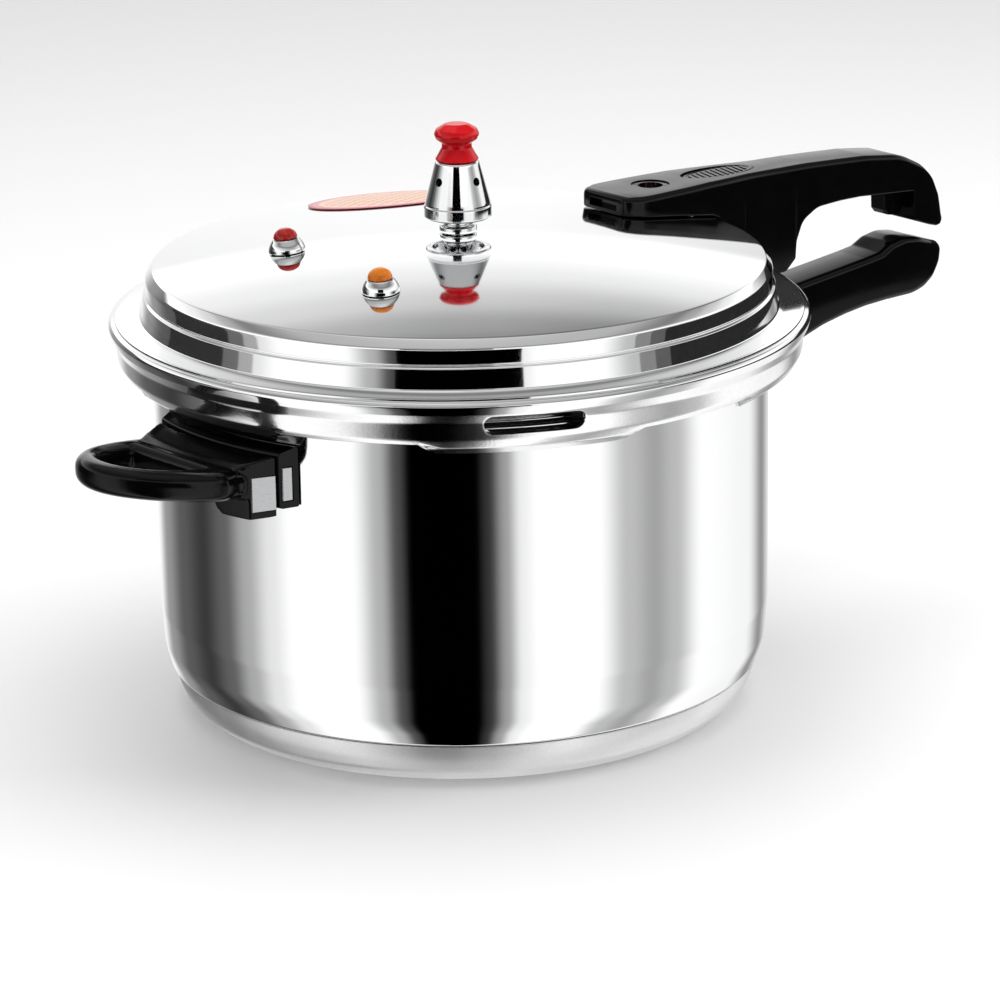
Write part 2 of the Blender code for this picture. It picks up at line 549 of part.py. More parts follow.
def make_lid_handle():
    """Upper long handle with the channel that the lock runs in."""
    lows = [(75.0, dome_z(75.0) + 0.4), (100.0, dome_z(100.0) + 0.4), (121.0, dome_z(121.0) + 0.4),
            (125.1, 178.8), (125.3, 169.8), (127.4, 169.4), (127.6, 161.4), (140.4, 161.3), (140.7, 148.2),
            (165.8, 148.2), (171.2, 151.8), (171.7, 160.3), (174.5, 166.5), (179.0, 171.2), (185.0, 173.3),
            (197.0, 173.8), (209.0, 173.7), (221.0, 172.7), (233.0, 171.8), (240.4, 171.0), (240.9, 158.1),
            (250.2, 154.7), (255.3, 153.2), (258.6, 153.4), (259.5, 154.6)]
    highs = [(75.0, 193.4), (76.2, 194.2), (78.0, 194.6), (122.0, 194.6), (145.0, 194.0), (165.0, 193.1),
             (180.0, 192.7), (197.0, 191.8), (213.0, 190.8), (233.0, 188.2), (237.8, 186.9), (245.4, 182.1),
             (252.2, 176.1), (255.8, 169.3), (259.5, 157.6)]
    halves = [(75.0, 11.0), (76.2, 13.8), (78.0, 15.8), (81.0, 17.4), (86.0, 18.0), (110.0, 17.0),
              (130.0, 15.0), (145.0, 12.8), (160.0, 11.4), (175.0, 11.0), (245.4, 11.0), (255.8, 10.0),
              (259.5, 8.2)]
    handle = loft("lid_handle", lows, highs, halves, 2.6, BAKELITE)
    half = CHANNEL_HALF
    channel = {"front": ((87.5, 126.0), half, (176.0, 189.2)),
               "bar": ((120.0, 214.0), half, (184.6, 189.2)),
               "leg": ((141.0, 153.0), half, (140.0, 187.0)),
               "spring": ((189.7, 217.5), 5.0, (168.0, 186.8)),
               "trigger": ((216.0, 240.2), 5.0, (156.0, 183.5)),
               "cover": ((179.6, 216.8), 7.2, (165.0, 175.8)),
               "bracket": ((124.0, 168.5), 9.4, (160.8, 163.6)),
               "nut": ((156.5, 166.5), 4.8, (163.0, 167.4))}
    for name, (x, width, z) in channel.items():
        cut(handle, block(f"channel_{name}", x, (-width, width), z))
    cut(handle, block("front_window", (71.0, 78.4), (-8.5, 8.5), (188.6, 192.0)))
    float_seat = empty("indicator_hole_seat", (FLOAT_X, 0.0, 0.0))
    cut(handle, rod("indicator_hole", 5.25, (180.0, 199.0), steps=16, parent=float_seat))
    cut(handle, rod("guide_pocket", 6.6, (170.0, 187.0), parent=float_seat))
    sink = turned("indicator_sink", [(0.0, 196.0), (8.25, 196.0), (8.25, 194.1), (0.0, 193.9)], steps=16,
                  parent=float_seat)
    cut(handle, sink)
    recess = plate("badge_recess", [oval(137.0, 0.0, 19.2, 8.2)], (192.9, 198.0), "XY")
    cut(handle, recess)
    rear_seat = empty("rear_screw_hole_seat", (REAR_SCREW_X, 0.0, 0.0))
    cut(handle, rod("rear_head_bore", 3.9, (144.0, 152.1), parent=rear_seat))
    cut(handle, rod("rear_screw_bore", 2.3, (148.0, 162.0), parent=rear_seat))
    for side in (-1, 1):
        seat = empty(f"front_screw_seat_{side}", (FRONT_SCREW[0], side * FRONT_SCREW[1], 0.0))
        cut(handle, rod(f"front_screw_bore_{side}", 2.2, (172.0, 190.0), parent=seat))


def oval(x, y, half_length, half_width, steps=16):
    """An ellipse as a list of points."""
    angles = [2 * pi * step / steps for step in range(steps)]
    return [(x + half_length * cos(angle), y + half_width * sin(angle)) for angle in angles]


def make_lid_handle_fittings():
    """Badge, cover, bracket and fasteners of the upper handle."""
    plate("handle_badge", [oval(137.0, 0.0, 18.8, 7.8)], (193.2, 193.9), "XY", STEEL)
    block("lid_handle_cover", (180.0, 216.4), (-6.8, 6.8), (174.0, 175.4), BAKELITE)
    bracket = block("lid_handle_bracket", (130.4, 168.0), (-9.0, 9.0), (161.4, 163.2), STEEL)
    cut(bracket, block("bracket_lock_slot", (141.0, 153.3), (-4.8, 4.8), (159.0, 166.0)))
    seat = empty("rear_screw_seat", (REAR_SCREW_X, 0.0, 0.0))
    cut(bracket, rod("bracket_hole", 2.3, (158.0, 166.0), parent=seat))
    turned("lid_handle_screw", [(0.0, 166.9), (2.0, 166.9), (2.0, 151.8), (3.5, 151.8), (3.5, 149.8),
                                (0.0, 149.8)], STEEL, parent=seat)
    hexagon_nut("lid_handle_nut", 4.3, 2.3, (163.5, 166.6), STEEL, parent=seat)
    for name, side in (("right", -1), ("left", 1)):
        place = empty(f"lid_front_screw_{name}_seat", (FRONT_SCREW[0], side * FRONT_SCREW[1], 0.0))
        turned(f"lid_front_screw_{name}", [(0.0, 189.5), (1.9, 189.5), (1.9, 177.9), (3.2, 177.9),
                                           (3.2, 175.9), (2.2, 175.2), (0.0, 175.2)], STEEL, parent=place)


# --- lock ------------------------------------------------------------------------------------

def make_float_valve():
    """Float that rises with pressure: guide, nut, pin, seal and the indicator cap."""
    seat = empty("float_seat", (FLOAT_X, 0.0, 0.0))
    turned("float_guide", [(2.1, 186.2), (5.6, 186.2), (6.0, 185.8), (6.0, 184.9), (3.9, 184.9),
                           (3.9, 176.1), (2.1, 176.1)], STEEL, 16, ring=True, parent=seat)
    hexagon_nut("float_nut", 7.0, 4.2, (176.4, 179.2), STEEL, parent=seat)
    turned("float_pin", [(0.0, 190.0), (1.6, 190.0), (1.6, 170.0), (3.4, 170.0), (3.4, 168.4), (2.8, 167.8),
                         (0.0, 167.8)], STEEL, parent=seat)
    turned("float_seal", [(1.9, 171.8), (3.2, 171.8), (3.2, 170.4), (1.9, 170.4)], RUBBER, ring=True,
           parent=seat)
    turned("float_cap", [(0.0, 192.2), (2.8, 191.9), (3.9, 191.0), (3.9, 190.3), (0.0, 190.3)], RED_PLASTIC,
           parent=seat)


def make_lock():
    """Sliding lock: flat bar with a leg that enters the keeper, the finger piece and its spring."""
    across = (-LOCK_HALF, LOCK_HALF)
    bar = block("lock_bar", (93.0, 211.0), across, (186.6, 188.6), STEEL)
    cut(bar, block("bar_leg", (147.0, 152.0), across, (143.5, 187.6)), "UNION")
    cut(bar, block("bar_tab", (208.0, 210.8), across, (178.0, 187.6)), "UNION")
    cut(bar, block("float_slot", (98.2, 107.5), (-2.1, 2.1), (184.0, 192.0)))
    grip = [(211.4, 182.0), (239.4, 182.0), (239.4, 162.0), (237.4, 160.2), (231.0, 161.0), (229.0, 163.4),
            (228.6, 176.8), (211.4, 176.8)]
    plate("lock_trigger", [grip], (-4.4, 4.4), "XZ", BAKELITE, 0.6)
    seat = empty("lock_spring_seat", (0.0, 0.0, 181.2), (0.0, pi / 2, 0.0))
    spring("lock_spring", 2.6, 0.7, (190.0, 207.7), 5.0, STEEL, parent=seat)


make_pot_body()
make_base_plate()
make_pot_handle()
make_side_handle()
make_lid_shell()
make_gasket()
make_lid_label()
make_vent_pipe()
make_weight()
make_safety_valve("red", *RED_VALVE, RED_PLASTIC)
make_safety_valve("amber", *AMBER_VALVE, AMBER_PLASTIC)
make_lid_handle()
make_lid_handle_fittings()
make_float_valve()
make_lock()
for piece in parts.objects:
    smooth(piece)
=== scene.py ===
"""Looks of the stovetop pressure cooker: fine meshes, materials, light and camera round the fixed frame."""
import json
from math import acos, atan, atan2, cos, hypot, pi, radians, sin, sqrt, tan

import bmesh
import bpy
import numpy as np
from mathutils import Matrix, Vector


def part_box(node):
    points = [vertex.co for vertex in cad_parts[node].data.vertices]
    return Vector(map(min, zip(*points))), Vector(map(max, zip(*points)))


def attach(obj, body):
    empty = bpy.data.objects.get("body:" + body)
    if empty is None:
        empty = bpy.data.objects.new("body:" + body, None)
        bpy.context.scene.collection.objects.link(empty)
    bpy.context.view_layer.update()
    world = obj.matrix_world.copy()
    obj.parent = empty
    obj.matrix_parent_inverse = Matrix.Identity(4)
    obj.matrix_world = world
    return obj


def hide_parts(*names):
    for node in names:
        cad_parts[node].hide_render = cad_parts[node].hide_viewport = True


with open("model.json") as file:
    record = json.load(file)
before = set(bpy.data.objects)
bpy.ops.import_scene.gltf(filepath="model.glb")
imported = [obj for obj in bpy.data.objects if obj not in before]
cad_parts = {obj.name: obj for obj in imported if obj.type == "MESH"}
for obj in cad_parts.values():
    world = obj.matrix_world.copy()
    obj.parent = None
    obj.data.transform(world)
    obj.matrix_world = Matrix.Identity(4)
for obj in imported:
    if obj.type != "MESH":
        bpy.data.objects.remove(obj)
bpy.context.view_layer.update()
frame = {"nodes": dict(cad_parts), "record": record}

MM = 0.001
SHELL_COLUMNS = 288
SMALL_COLUMNS = 96
DOME_RADIUS = 682.0
VENT_HOLE_R = 4.6
DOME_ROWS = 40
SKIRT_R = 137.8
VALVE_DROP = -2.1
LUG_COUNT = 6
LUG_OFFSET = radians(3.5)
LUG_PITCH = 2 * pi / LUG_COUNT


def box_mm(node):
    """Lowest and highest corner of a CAD node in millimetres."""
    low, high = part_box(node)
    return low / MM, high / MM


LID_LOW, LID_HIGH = box_mm("lid_shell")
LID_R, LID_TOP, LID_BOTTOM = LID_HIGH.x, LID_HIGH.z, LID_LOW.z
POT_LOW, POT_HIGH = box_mm("pot_body")
RIM_Z = POT_HIGH.z
BASE_LOW, BASE_HIGH = box_mm("base_plate")
CREASE_Z = BASE_HIGH.z
POT_R = BASE_HIGH.x + 5.0
REAR_SCREW_X = sum(corner.x for corner in box_mm("lid_handle_screw")) / 2


# --- materials -------------------------------------------------------------------------------

class Shader:
    """A Principled material and short ways to wire procedural nodes into it."""

    def __init__(self, name, colour, metallic=0.0, roughness=0.5, **fixed):
        self.material = bpy.data.materials.new(name)
        self.material.use_nodes = True
        self.tree = self.material.node_tree
        self.bsdf = self.tree.nodes["Principled BSDF"]
        self.bsdf.inputs["Base Color"].default_value = (*colour, 1.0)
        self.bsdf.inputs["Metallic"].default_value = metallic
        self.bsdf.inputs["Roughness"].default_value = roughness
        for socket, value in fixed.items():
            self.bsdf.inputs[socket.replace("_", " ")].default_value = value

    def node(self, kind, **values):
        made = self.tree.nodes.new(kind)
        for key, value in values.items():
            setattr(made, key, value)
        return made

    def link(self, source, target):
        self.tree.links.new(source, target)

    def math(self, operation, first, second=None):
        made = self.node("ShaderNodeMath", operation=operation)
        for index, value in enumerate((first, second)):
            if isinstance(value, (int, float)):
                made.inputs[index].default_value = value
            elif value is not None:
                self.link(value, made.inputs[index])
        return made.outputs[0]

    def object_coordinates(self, scale=(1.0, 1.0, 1.0)):
        source = self.node("ShaderNodeTexCoord").outputs["Object"]
        mapping = self.node("ShaderNodeMapping")
        mapping.inputs["Scale"].default_value = scale
        self.link(source, mapping.inputs["Vector"])
        return mapping.outputs["Vector"]

    def noise(self, vector, scale, detail=3.0):
        made = self.node("ShaderNodeTexNoise")
        made.inputs["Scale"].default_value = scale
        made.inputs["Detail"].default_value = detail
        self.link(vector, made.inputs["Vector"])
        return made.outputs["Fac"]

    def spread(self, value, low, high, start=0.3, end=0.7):
        """Map a value between start and end onto low to high."""
        made = self.node("ShaderNodeMapRange")
        made.inputs["From Min"].default_value = start
        made.inputs["From Max"].default_value = end
        made.inputs["To Min"].default_value = low
        made.inputs["To Max"].default_value = high
        self.link(value, made.inputs["Value"])
        return made.outputs["Result"]

    def mix(self, factor, first, second):
        made = self.node("ShaderNodeMix", data_type="RGBA")
        self.link(factor, made.inputs["Factor"])
        for socket, value in ((made.inputs["A"], first), (made.inputs["B"], second)):
            if isinstance(value, tuple):
                socket.default_value = (*value, 1.0)
            else:
                self.link(value, socket)
        return made.outputs["Result"]

    def colour(self, value):
        self.link(value, self.bsdf.inputs["Base Color"])

    def roughness(self, value):
        self.link(value, self.bsdf.inputs["Roughness"])

    def bump(self, *layers):
        """Each layer is (height, strength, distance in metres)."""
        normal = None
        for height, strength, distance in layers:
            made = self.node("ShaderNodeBump")
            made.inputs["Strength"].default_value = strength
            made.inputs["Distance"].default_value = distance
            self.link(height, made.inputs["Height"])
            if normal is not None:
                self.link(normal, made.inputs["Normal"])
            normal = made.outputs["Normal"]
        self.link(normal, self.bsdf.inputs["Normal"])

    def axis_distance(self):
        """Distance from the pot's axis and height, as a vector that changes only with those two."""
        split = self.node("ShaderNodeSeparateXYZ")
        self.link(self.node("ShaderNodeTexCoord").outputs["Object"], split.inputs[0])
        flat = self.math("SQRT", self.math("ADD", self.math("MULTIPLY", split.outputs[0], split.outputs[0]),
                                           self.math("MULTIPLY", split.outputs[1], split.outputs[1])))
        joined = self.node("ShaderNodeCombineXYZ")
        self.link(flat, joined.inputs[0])
        self.link(split.outputs[2], joined.inputs[1])
        return joined.outputs[0]


def polished_aluminium():
    shader = Shader("polished_aluminium", (0.90, 0.905, 0.91), 1.0, 0.05)
    cloud = shader.noise(shader.object_coordinates(), 14.0, 4.0)
    shader.roughness(shader.spread(cloud, 0.035, 0.075))
    shader.colour(shader.mix(cloud, (0.88, 0.885, 0.89), (0.93, 0.93, 0.935)))
    rings = shader.noise(shader.axis_distance(), 1400.0, 1.0)
    waves = shader.noise(shader.axis_distance(), 90.0, 1.0)
    shader.bump((rings, 0.05, 0.00002), (waves, 0.10, 0.00004))
    return shader.material


def satin_aluminium(name, roughness, grain):
    shader = Shader(name, (0.90, 0.90, 0.91), 1.0, roughness)
    rings = shader.noise(shader.axis_distance(), 900.0, 2.0)
    speckle = shader.noise(shader.object_coordinates(), 900.0, 2.0)
    cloud = shader.noise(shader.object_coordinates(), 35.0, 3.0)
    shader.roughness(shader.spread(cloud, roughness - 0.06, roughness + 0.08))
    shader.colour(shader.mix(speckle, (0.86, 0.86, 0.87), (0.97, 0.97, 0.975)))
    shader.bump((rings, 0.25, 0.00003), (speckle, grain, 0.00008))
    return shader.material


def black_bakelite():
    shader = Shader("black_bakelite", (0.003, 0.003, 0.003), 0.0, 0.14, Specular_IOR_Level=0.2)
    cloud = shader.noise(shader.object_coordinates(), 60.0, 4.0)
    flow = shader.noise(shader.object_coordinates((1.0, 4.0, 4.0)), 120.0, 2.0)
    shader.roughness(shader.spread(cloud, 0.10, 0.19))
    shader.colour(shader.mix(flow, (0.0008, 0.0008, 0.0009), (0.0025, 0.0025, 0.0028)))
    shader.bump((cloud, 0.04, 0.0002), (shader.noise(shader.object_coordinates(), 1500.0, 2.0), 0.05, 0.00002))
    return shader.material


def chrome():
    shader = Shader("chrome", (0.82, 0.825, 0.83), 1.0, 0.05)
    cloud = shader.noise(shader.object_coordinates(), 160.0, 3.0)
    shader.roughness(shader.spread(cloud, 0.035, 0.09))
    turning = shader.noise(shader.object_coordinates((0.0, 0.0, 1.0)), 2600.0, 1.0)
    shader.bump((turning, 0.08, 0.00002))
    return shader.material


def brushed_steel():
    shader = Shader("brushed_steel", (0.50, 0.51, 0.52), 1.0, 0.24)
    strokes = shader.noise(shader.object_coordinates((1.0, 1.0, 14.0)), 260.0, 3.0)
    shader.roughness(shader.spread(strokes, 0.18, 0.36))
    shader.colour(shader.mix(strokes, (0.42, 0.43, 0.44), (0.56, 0.57, 0.58)))
    shader.bump((strokes, 0.15, 0.00003))
    return shader.material


def brass():
    shader = Shader("brass", (0.80, 0.60, 0.28), 1.0, 0.22)
    cloud = shader.noise(shader.object_coordinates(), 300.0, 3.0)
    shader.roughness(shader.spread(cloud, 0.16, 0.34))
    shader.colour(shader.mix(cloud, (0.70, 0.50, 0.22), (0.84, 0.64, 0.32)))
    return shader.material


def dark_silicone():
    shader = Shader("dark_silicone", (0.02, 0.02, 0.022), 0.0, 0.6)
    cloud = shader.noise(shader.object_coordinates(), 220.0, 4.0)
    shader.roughness(shader.spread(cloud, 0.5, 0.72))
    shader.colour(shader.mix(cloud, (0.014, 0.014, 0.015), (0.035, 0.035, 0.037)))
    shader.bump((cloud, 0.2, 0.0001))
    return shader.material


def clear_plastic(name, dark, light, transmission):
    shader = Shader(name, light, 0.0, 0.08, Transmission_Weight=transmission, IOR=1.49, Specular_IOR_Level=0.3)
    cloud = shader.noise(shader.object_coordinates(), 260.0, 3.0)
    shader.roughness(shader.spread(cloud, 0.05, 0.12))
    shader.colour(shader.mix(cloud, dark, light))
    shader.bump((cloud, 0.05, 0.0001))
    return shader.material


def label_film():
    """Pale film with a rose border and a plain diagonal lattice; UV runs -1 to 1 across the oval."""
    shader = Shader("label_film", (0.93, 0.70, 0.56), 0.0, 0.28)
    split = shader.node("ShaderNodeSeparateXYZ")
    shader.link(shader.node("ShaderNodeUVMap", uv_map="oval").outputs["UV"], split.inputs[0])
    u, v = split.outputs[0], split.outputs[1]
    edge = shader.math("SQRT", shader.math("ADD", shader.math("MULTIPLY", u, u), shader.math("MULTIPLY", v, v)))
    lattice = None
    for slope in (0.75, -0.75):
        line = shader.math("ADD", shader.math("MULTIPLY", u, 5.5), shader.math("MULTIPLY", v, 5.5 * slope))
        gap = shader.math("ABSOLUTE", shader.math("SUBTRACT", shader.math("FRACT", line), 0.5))
        stroke = shader.math("LESS_THAN", gap, 0.07)
        lattice = stroke if lattice is None else shader.math("MAXIMUM", lattice, stroke)
    inside = shader.math("LESS_THAN", edge, 0.80)
    lattice = shader.math("MULTIPLY", lattice, inside)
    ground = shader.mix(shader.noise(shader.object_coordinates(), 500.0, 3.0), (0.74, 0.42, 0.28), (0.84, 0.54, 0.38))
    drawn = shader.mix(lattice, ground, (0.36, 0.12, 0.05))
    rim = shader.math("GREATER_THAN", edge, 0.86)
    shader.colour(shader.mix(rim, drawn, (0.60, 0.22, 0.25)))
    return shader.material


POLISHED = polished_aluminium()
SATIN = satin_aluminium("satin_aluminium", 0.20, 0.07)
SKIRT = satin_aluminium("skirt_satin", 0.12, 0.16)
BASE_SATIN = satin_aluminium("base_satin", 0.46, 0.05)
BLACK = black_bakelite()
CHROME = chrome()
STEEL = brushed_steel()
BRASS = brass()
SILICONE = dark_silicone()
RED = clear_plastic("red_plastic", (0.46, 0.001, 0.004), (0.66, 0.003, 0.010), 0.0)
RED_CLEAR = clear_plastic("red_clear", (0.34, 0.004, 0.004), (0.60, 0.020, 0.015), 0.35)
AMBER = clear_plastic("amber_clear", (0.70, 0.15, 0.005), (0.95, 0.32, 0.015), 0.35)
LABEL = label_film()


# --- mesh helpers ----------------------------------------------------------------------------

def stand(name, shape):
    """Turn a bmesh into an object of the scene."""
    mesh = bpy.data.meshes.new(name)
    shape.to_mesh(mesh)
    shape.free()
    made = bpy.data.objects.new(name, mesh)
    bpy.context.scene.collection.objects.link(made)
    return made


def join(shapes):
    """Put several bmeshes into one."""
    joined = bmesh.new()
    for shape in shapes:
        mesh = bpy.data.meshes.new("part")
        shape.to_mesh(mesh)
        shape.free()
        joined.from_mesh(mesh)
        bpy.data.meshes.remove(mesh)
    return joined


def place(name, shape, materials, body, replaced, sharp=35.0):
    """Turn a bmesh into a piece: smooth shaded, riding on a body, standing for a CAD node."""
    piece = stand(name, shape)
    piece.data.shade_smooth()
    piece.data.set_sharp_from_angle(angle=radians(sharp))
    for material in materials if isinstance(materials, list) else [materials]:
        piece.data.materials.append(material)
    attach(piece, body)
    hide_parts(replaced)
    return piece


def soften(piece, width, segments=3, angle=40.0):
    """Round a piece's sharp edges; width in millimetres."""
    bevel = piece.modifiers.new("round", "BEVEL")
    bevel.width = width * MM
    bevel.segments = segments
    bevel.limit_method = "ANGLE"
    bevel.angle_limit = radians(angle)


def thicken(piece, thickness, offset):
    """Give a sheet its thickness in millimetres; offset 1 is outward and -1 is inward."""
    thick = piece.modifiers.new("thickness", "SOLIDIFY")
    thick.thickness = thickness * MM
    thick.offset = offset
    return thick


def fillet(points, steps=5):
    """Round the corners of a line of (x, y, radius) points; points without a radius stay sharp."""
    result = []
    for index, point in enumerate(points):
        radius = point[2] if len(point) > 2 else 0.0
        corner = Vector(point[:2])
        if radius <= 0 or index in (0, len(points) - 1):
            result.append(tuple(corner))
            continue
        back = (Vector(points[index - 1][:2]) - corner)
        ahead = (Vector(points[index + 1][:2]) - corner)
        back_length, ahead_length = back.length, ahead.length
        back.normalize()
        ahead.normalize()
        half = acos(max(-1.0, min(1.0, back.dot(ahead)))) / 2
        if half > radians(88.5):
            result.append(tuple(corner))
            continue
        reach = min(radius / tan(half), back_length * 0.49, ahead_length * 0.49)
        radius = reach * tan(half)
        centre = corner + (back + ahead).normalized() * (radius / sin(half))
        start, end = corner + back * reach - centre, corner + ahead * reach - centre
        sweep = start.angle_signed(end)
        for step in range(steps + 1):
            turned = start.copy()
            turned.rotate(Matrix.Rotation(-sweep * step / steps, 2))
            result.append(tuple(centre + turned))
    return result


def refine(points, longest):
    """Add points so that no stretch of a line is longer than the limit."""
    result = [points[0]]
    for start, end in zip(points, points[1:]):
        pieces = max(1, int(hypot(end[0] - start[0], end[1] - start[1]) / longest + 0.999))
        for step in range(1, pieces + 1):
            result.append(tuple(start[axis] + (end[axis] - start[axis]) * step / pieces for axis in (0, 1)))
    return result


def lathe(profile, columns=SMALL_COLUMNS, ring=False, matrix=None, lug=None):
    """Solid of revolution from (radius, z) points in millimetres, outer side top to bottom.

    lug(radius, z, angle) may change the radius round the turn.
    """
    shape = bmesh.new()
    rows = []
    for radius, z in profile:
        if radius < 0.001:
            rows.append([shape.verts.new((0.0, 0.0, z * MM))])
            continue
        row = []
        for column in range(columns):
            angle = 2 * pi * column / columns
            here = lug(radius, z, angle) if lug else radius
            row.append(shape.verts.new((here * cos(angle) * MM, here * sin(angle) * MM, z * MM)))
        rows.append(row)
    pairs = list(zip(rows, rows[1:]))
    if ring:
        pairs.append((rows[-1], rows[0]))
    for upper, lower in pairs:
        for column in range(columns):
            after = (column + 1) % columns
            corners = [upper[column % len(upper)], lower[column % len(lower)],
                       lower[after % len(lower)], upper[after % len(upper)]]
            unique = [corner for index, corner in enumerate(corners) if corner not in corners[:index]]
            if len(unique) > 2:
                shape.faces.new(unique)
    bmesh.ops.recalc_face_normals(shape, faces=shape.faces)
    if matrix is not None:
        shape.transform(matrix)
    return shape


def seat_matrix(node):
    """Placement of a tilted valve on the dome, square to it: the CAD body's middle is VALVE_DROP off the dome."""
    low, high = box_mm(node)
    middle = (low + high) / 2
    azimuth = atan2(middle.y, middle.x)
    radius = hypot(middle.x, middle.y)
    for _ in range(4):
        tilt = atan(radius / DOME_RADIUS)
        radius = hypot(middle.x, middle.y) - VALVE_DROP * sin(tilt)
    location = Vector((radius * cos(azimuth), radius * sin(azimuth), dome_z(radius))) * MM
    return Matrix.Translation(location) @ Matrix.Rotation(azimuth, 4, "Z") @ Matrix.Rotation(tilt, 4, "Y")


def dome_z(radius):
    """Height of the lid's outer surface on its domed middle."""
    return LID_TOP - (radius * radius - VENT_HOLE_R ** 2) / (2 * DOME_RADIUS)


def obround(half_length, half_width):
    """Distance from the centre to the edge of a round-ended slot in a direction (x, y)."""
    straight = half_length - half_width

    def reach(x, y):
        if abs(x) * half_width <= abs(y) * straight:
            return half_width / abs(y)
        along = abs(x) * straight
        return along + sqrt(max(0.0, along * along - (straight * straight - half_width * half_width)))
    return reach


def skin(surface, rows, columns, holes=()):
    """Closed-round sheet over surface(row, angle) with clean holes.

    Each hole is (row value, angle, reach, half width in rows, half width in angle, scale): a block of cells is
    left out round it and filled by rings of cells that run in to the hole's edge. scale is the distance that
    one radian covers there.
    """
    shape = bmesh.new()
    angles = [2 * pi * column / columns for column in range(columns)]
    grid = [[shape.verts.new(surface(row, angle)) for angle in angles] for row in rows]
    left_out = set()
    for row_value, angle_value, reach, row_half, angle_half, scale in holes:
        first_row = max(index for index, row in enumerate(rows) if row <= row_value - row_half)
        last_row = min(index for index, row in enumerate(rows) if row >= row_value + row_half)
        step = 2 * pi / columns
        first_column = int((angle_value - angle_half) // step)
        last_column = int(-((-angle_value - angle_half) // step))
        for row in range(first_row, last_row):
            for column in range(first_column, last_column):
                left_out.add((row, column % columns))
        border = [(first_row, column) for column in range(first_column, last_column)]
        border += [(row, last_column) for row in range(first_row, last_row)]
        border += [(last_row, column) for column in range(last_column, first_column, -1)]
        border += [(row, first_column) for row in range(last_row, first_row, -1)]
        rings = 4
        layers = [[grid[row][column % columns] for row, column in border]]
        offsets = [((column * step - angle_value) * scale, rows[row] - row_value) for row, column in border]
        for ring in range(1, rings + 1):
            layer = []
            blend = (ring / rings) ** 0.8
            for across, along in offsets:
                length = hypot(across, along)
                edge = reach(across / length, along / length)
                near = length + (edge - length) * blend
                layer.append(shape.verts.new(surface(row_value + along / length * near,
                                                     angle_value + across / length * near / scale)))
            layers.append(layer)
        count = len(border)
        for outer, inner in zip(layers, layers[1:]):
            for index in range(count):
                after = (index + 1) % count
                shape.faces.new((outer[index], outer[after], inner[after], inner[index]))
    for row in range(len(rows) - 1):
        for column in range(columns):
            if (row, column) in left_out:
                continue
            after = (column + 1) % columns
            shape.faces.new((grid[row][column], grid[row][after], grid[row + 1][after], grid[row + 1][column]))
    bmesh.ops.recalc_face_normals(shape, faces=shape.faces)
    return shape


def along_profile(profile):
    """Distance run along a profile at each of its points, and the surface it turns through."""
    travel = np.concatenate([[0.0], np.cumsum(np.hypot(*np.diff(profile, axis=0).T))])

    def surface(row, angle):
        radius = np.interp(row, travel, profile[:, 0]) * MM
        return (radius * cos(angle), radius * sin(angle), np.interp(row, travel, profile[:, 1]) * MM)
    return travel, surface


def smoothstep(value, low, high):
    share = max(0.0, min(1.0, (value - low) / (high - low)))
    return share * share * (3 - 2 * share)


def lug_share(angle, half_width, ramp):
    """1 in the middle of a lug and 0 between lugs, with a smooth ramp at each end; radians."""
    offset = (angle - LUG_OFFSET + LUG_PITCH / 2) % LUG_PITCH - LUG_PITCH / 2
    return 1.0 - smoothstep(abs(offset), half_width - ramp, half_width + ramp)


# --- lid -------------------------------------------------------------------------------------

def lid_profile():
    """Outer side of the lid from the vent hole to the tip of a lug."""
    dome = [(radius, dome_z(radius)) for radius in np.arange(VENT_HOLE_R, 118.0, 2.8)]
    r, low = LID_R, LID_BOTTOM
    corners = [(118.0, dome_z(118.0)), (r - 18.0, dome_z(r - 18.0), 0.9), (r - 15.3, low + 39.6, 2.8),
               (r - 15.2, low + 34.0, 0.4), (r - 15.7, low + 33.3, 0.3), (r - 14.2, low + 32.6, 0.5),
               (r - 13.1, low + 24.3, 0.8), (r - 2.9, low + 24.0, 0.1), (r - 2.8, low + 23.3, 0.1),
               (r - 1.0, low + 23.1, 0.9), (r, low + 21.6, 1.3),
               (r - 0.9, low + 18.4, 1.8), (r - 2.9, low + 14.6, 3.0), (r - 3.5, low + 8.2, 3.5),
               (r - 5.6, low + 4.4, 2.5), (r - 10.0, low + 1.2, 2.0), (r - 14.0, low)]
    return dome + refine(fillet(corners), 1.6)


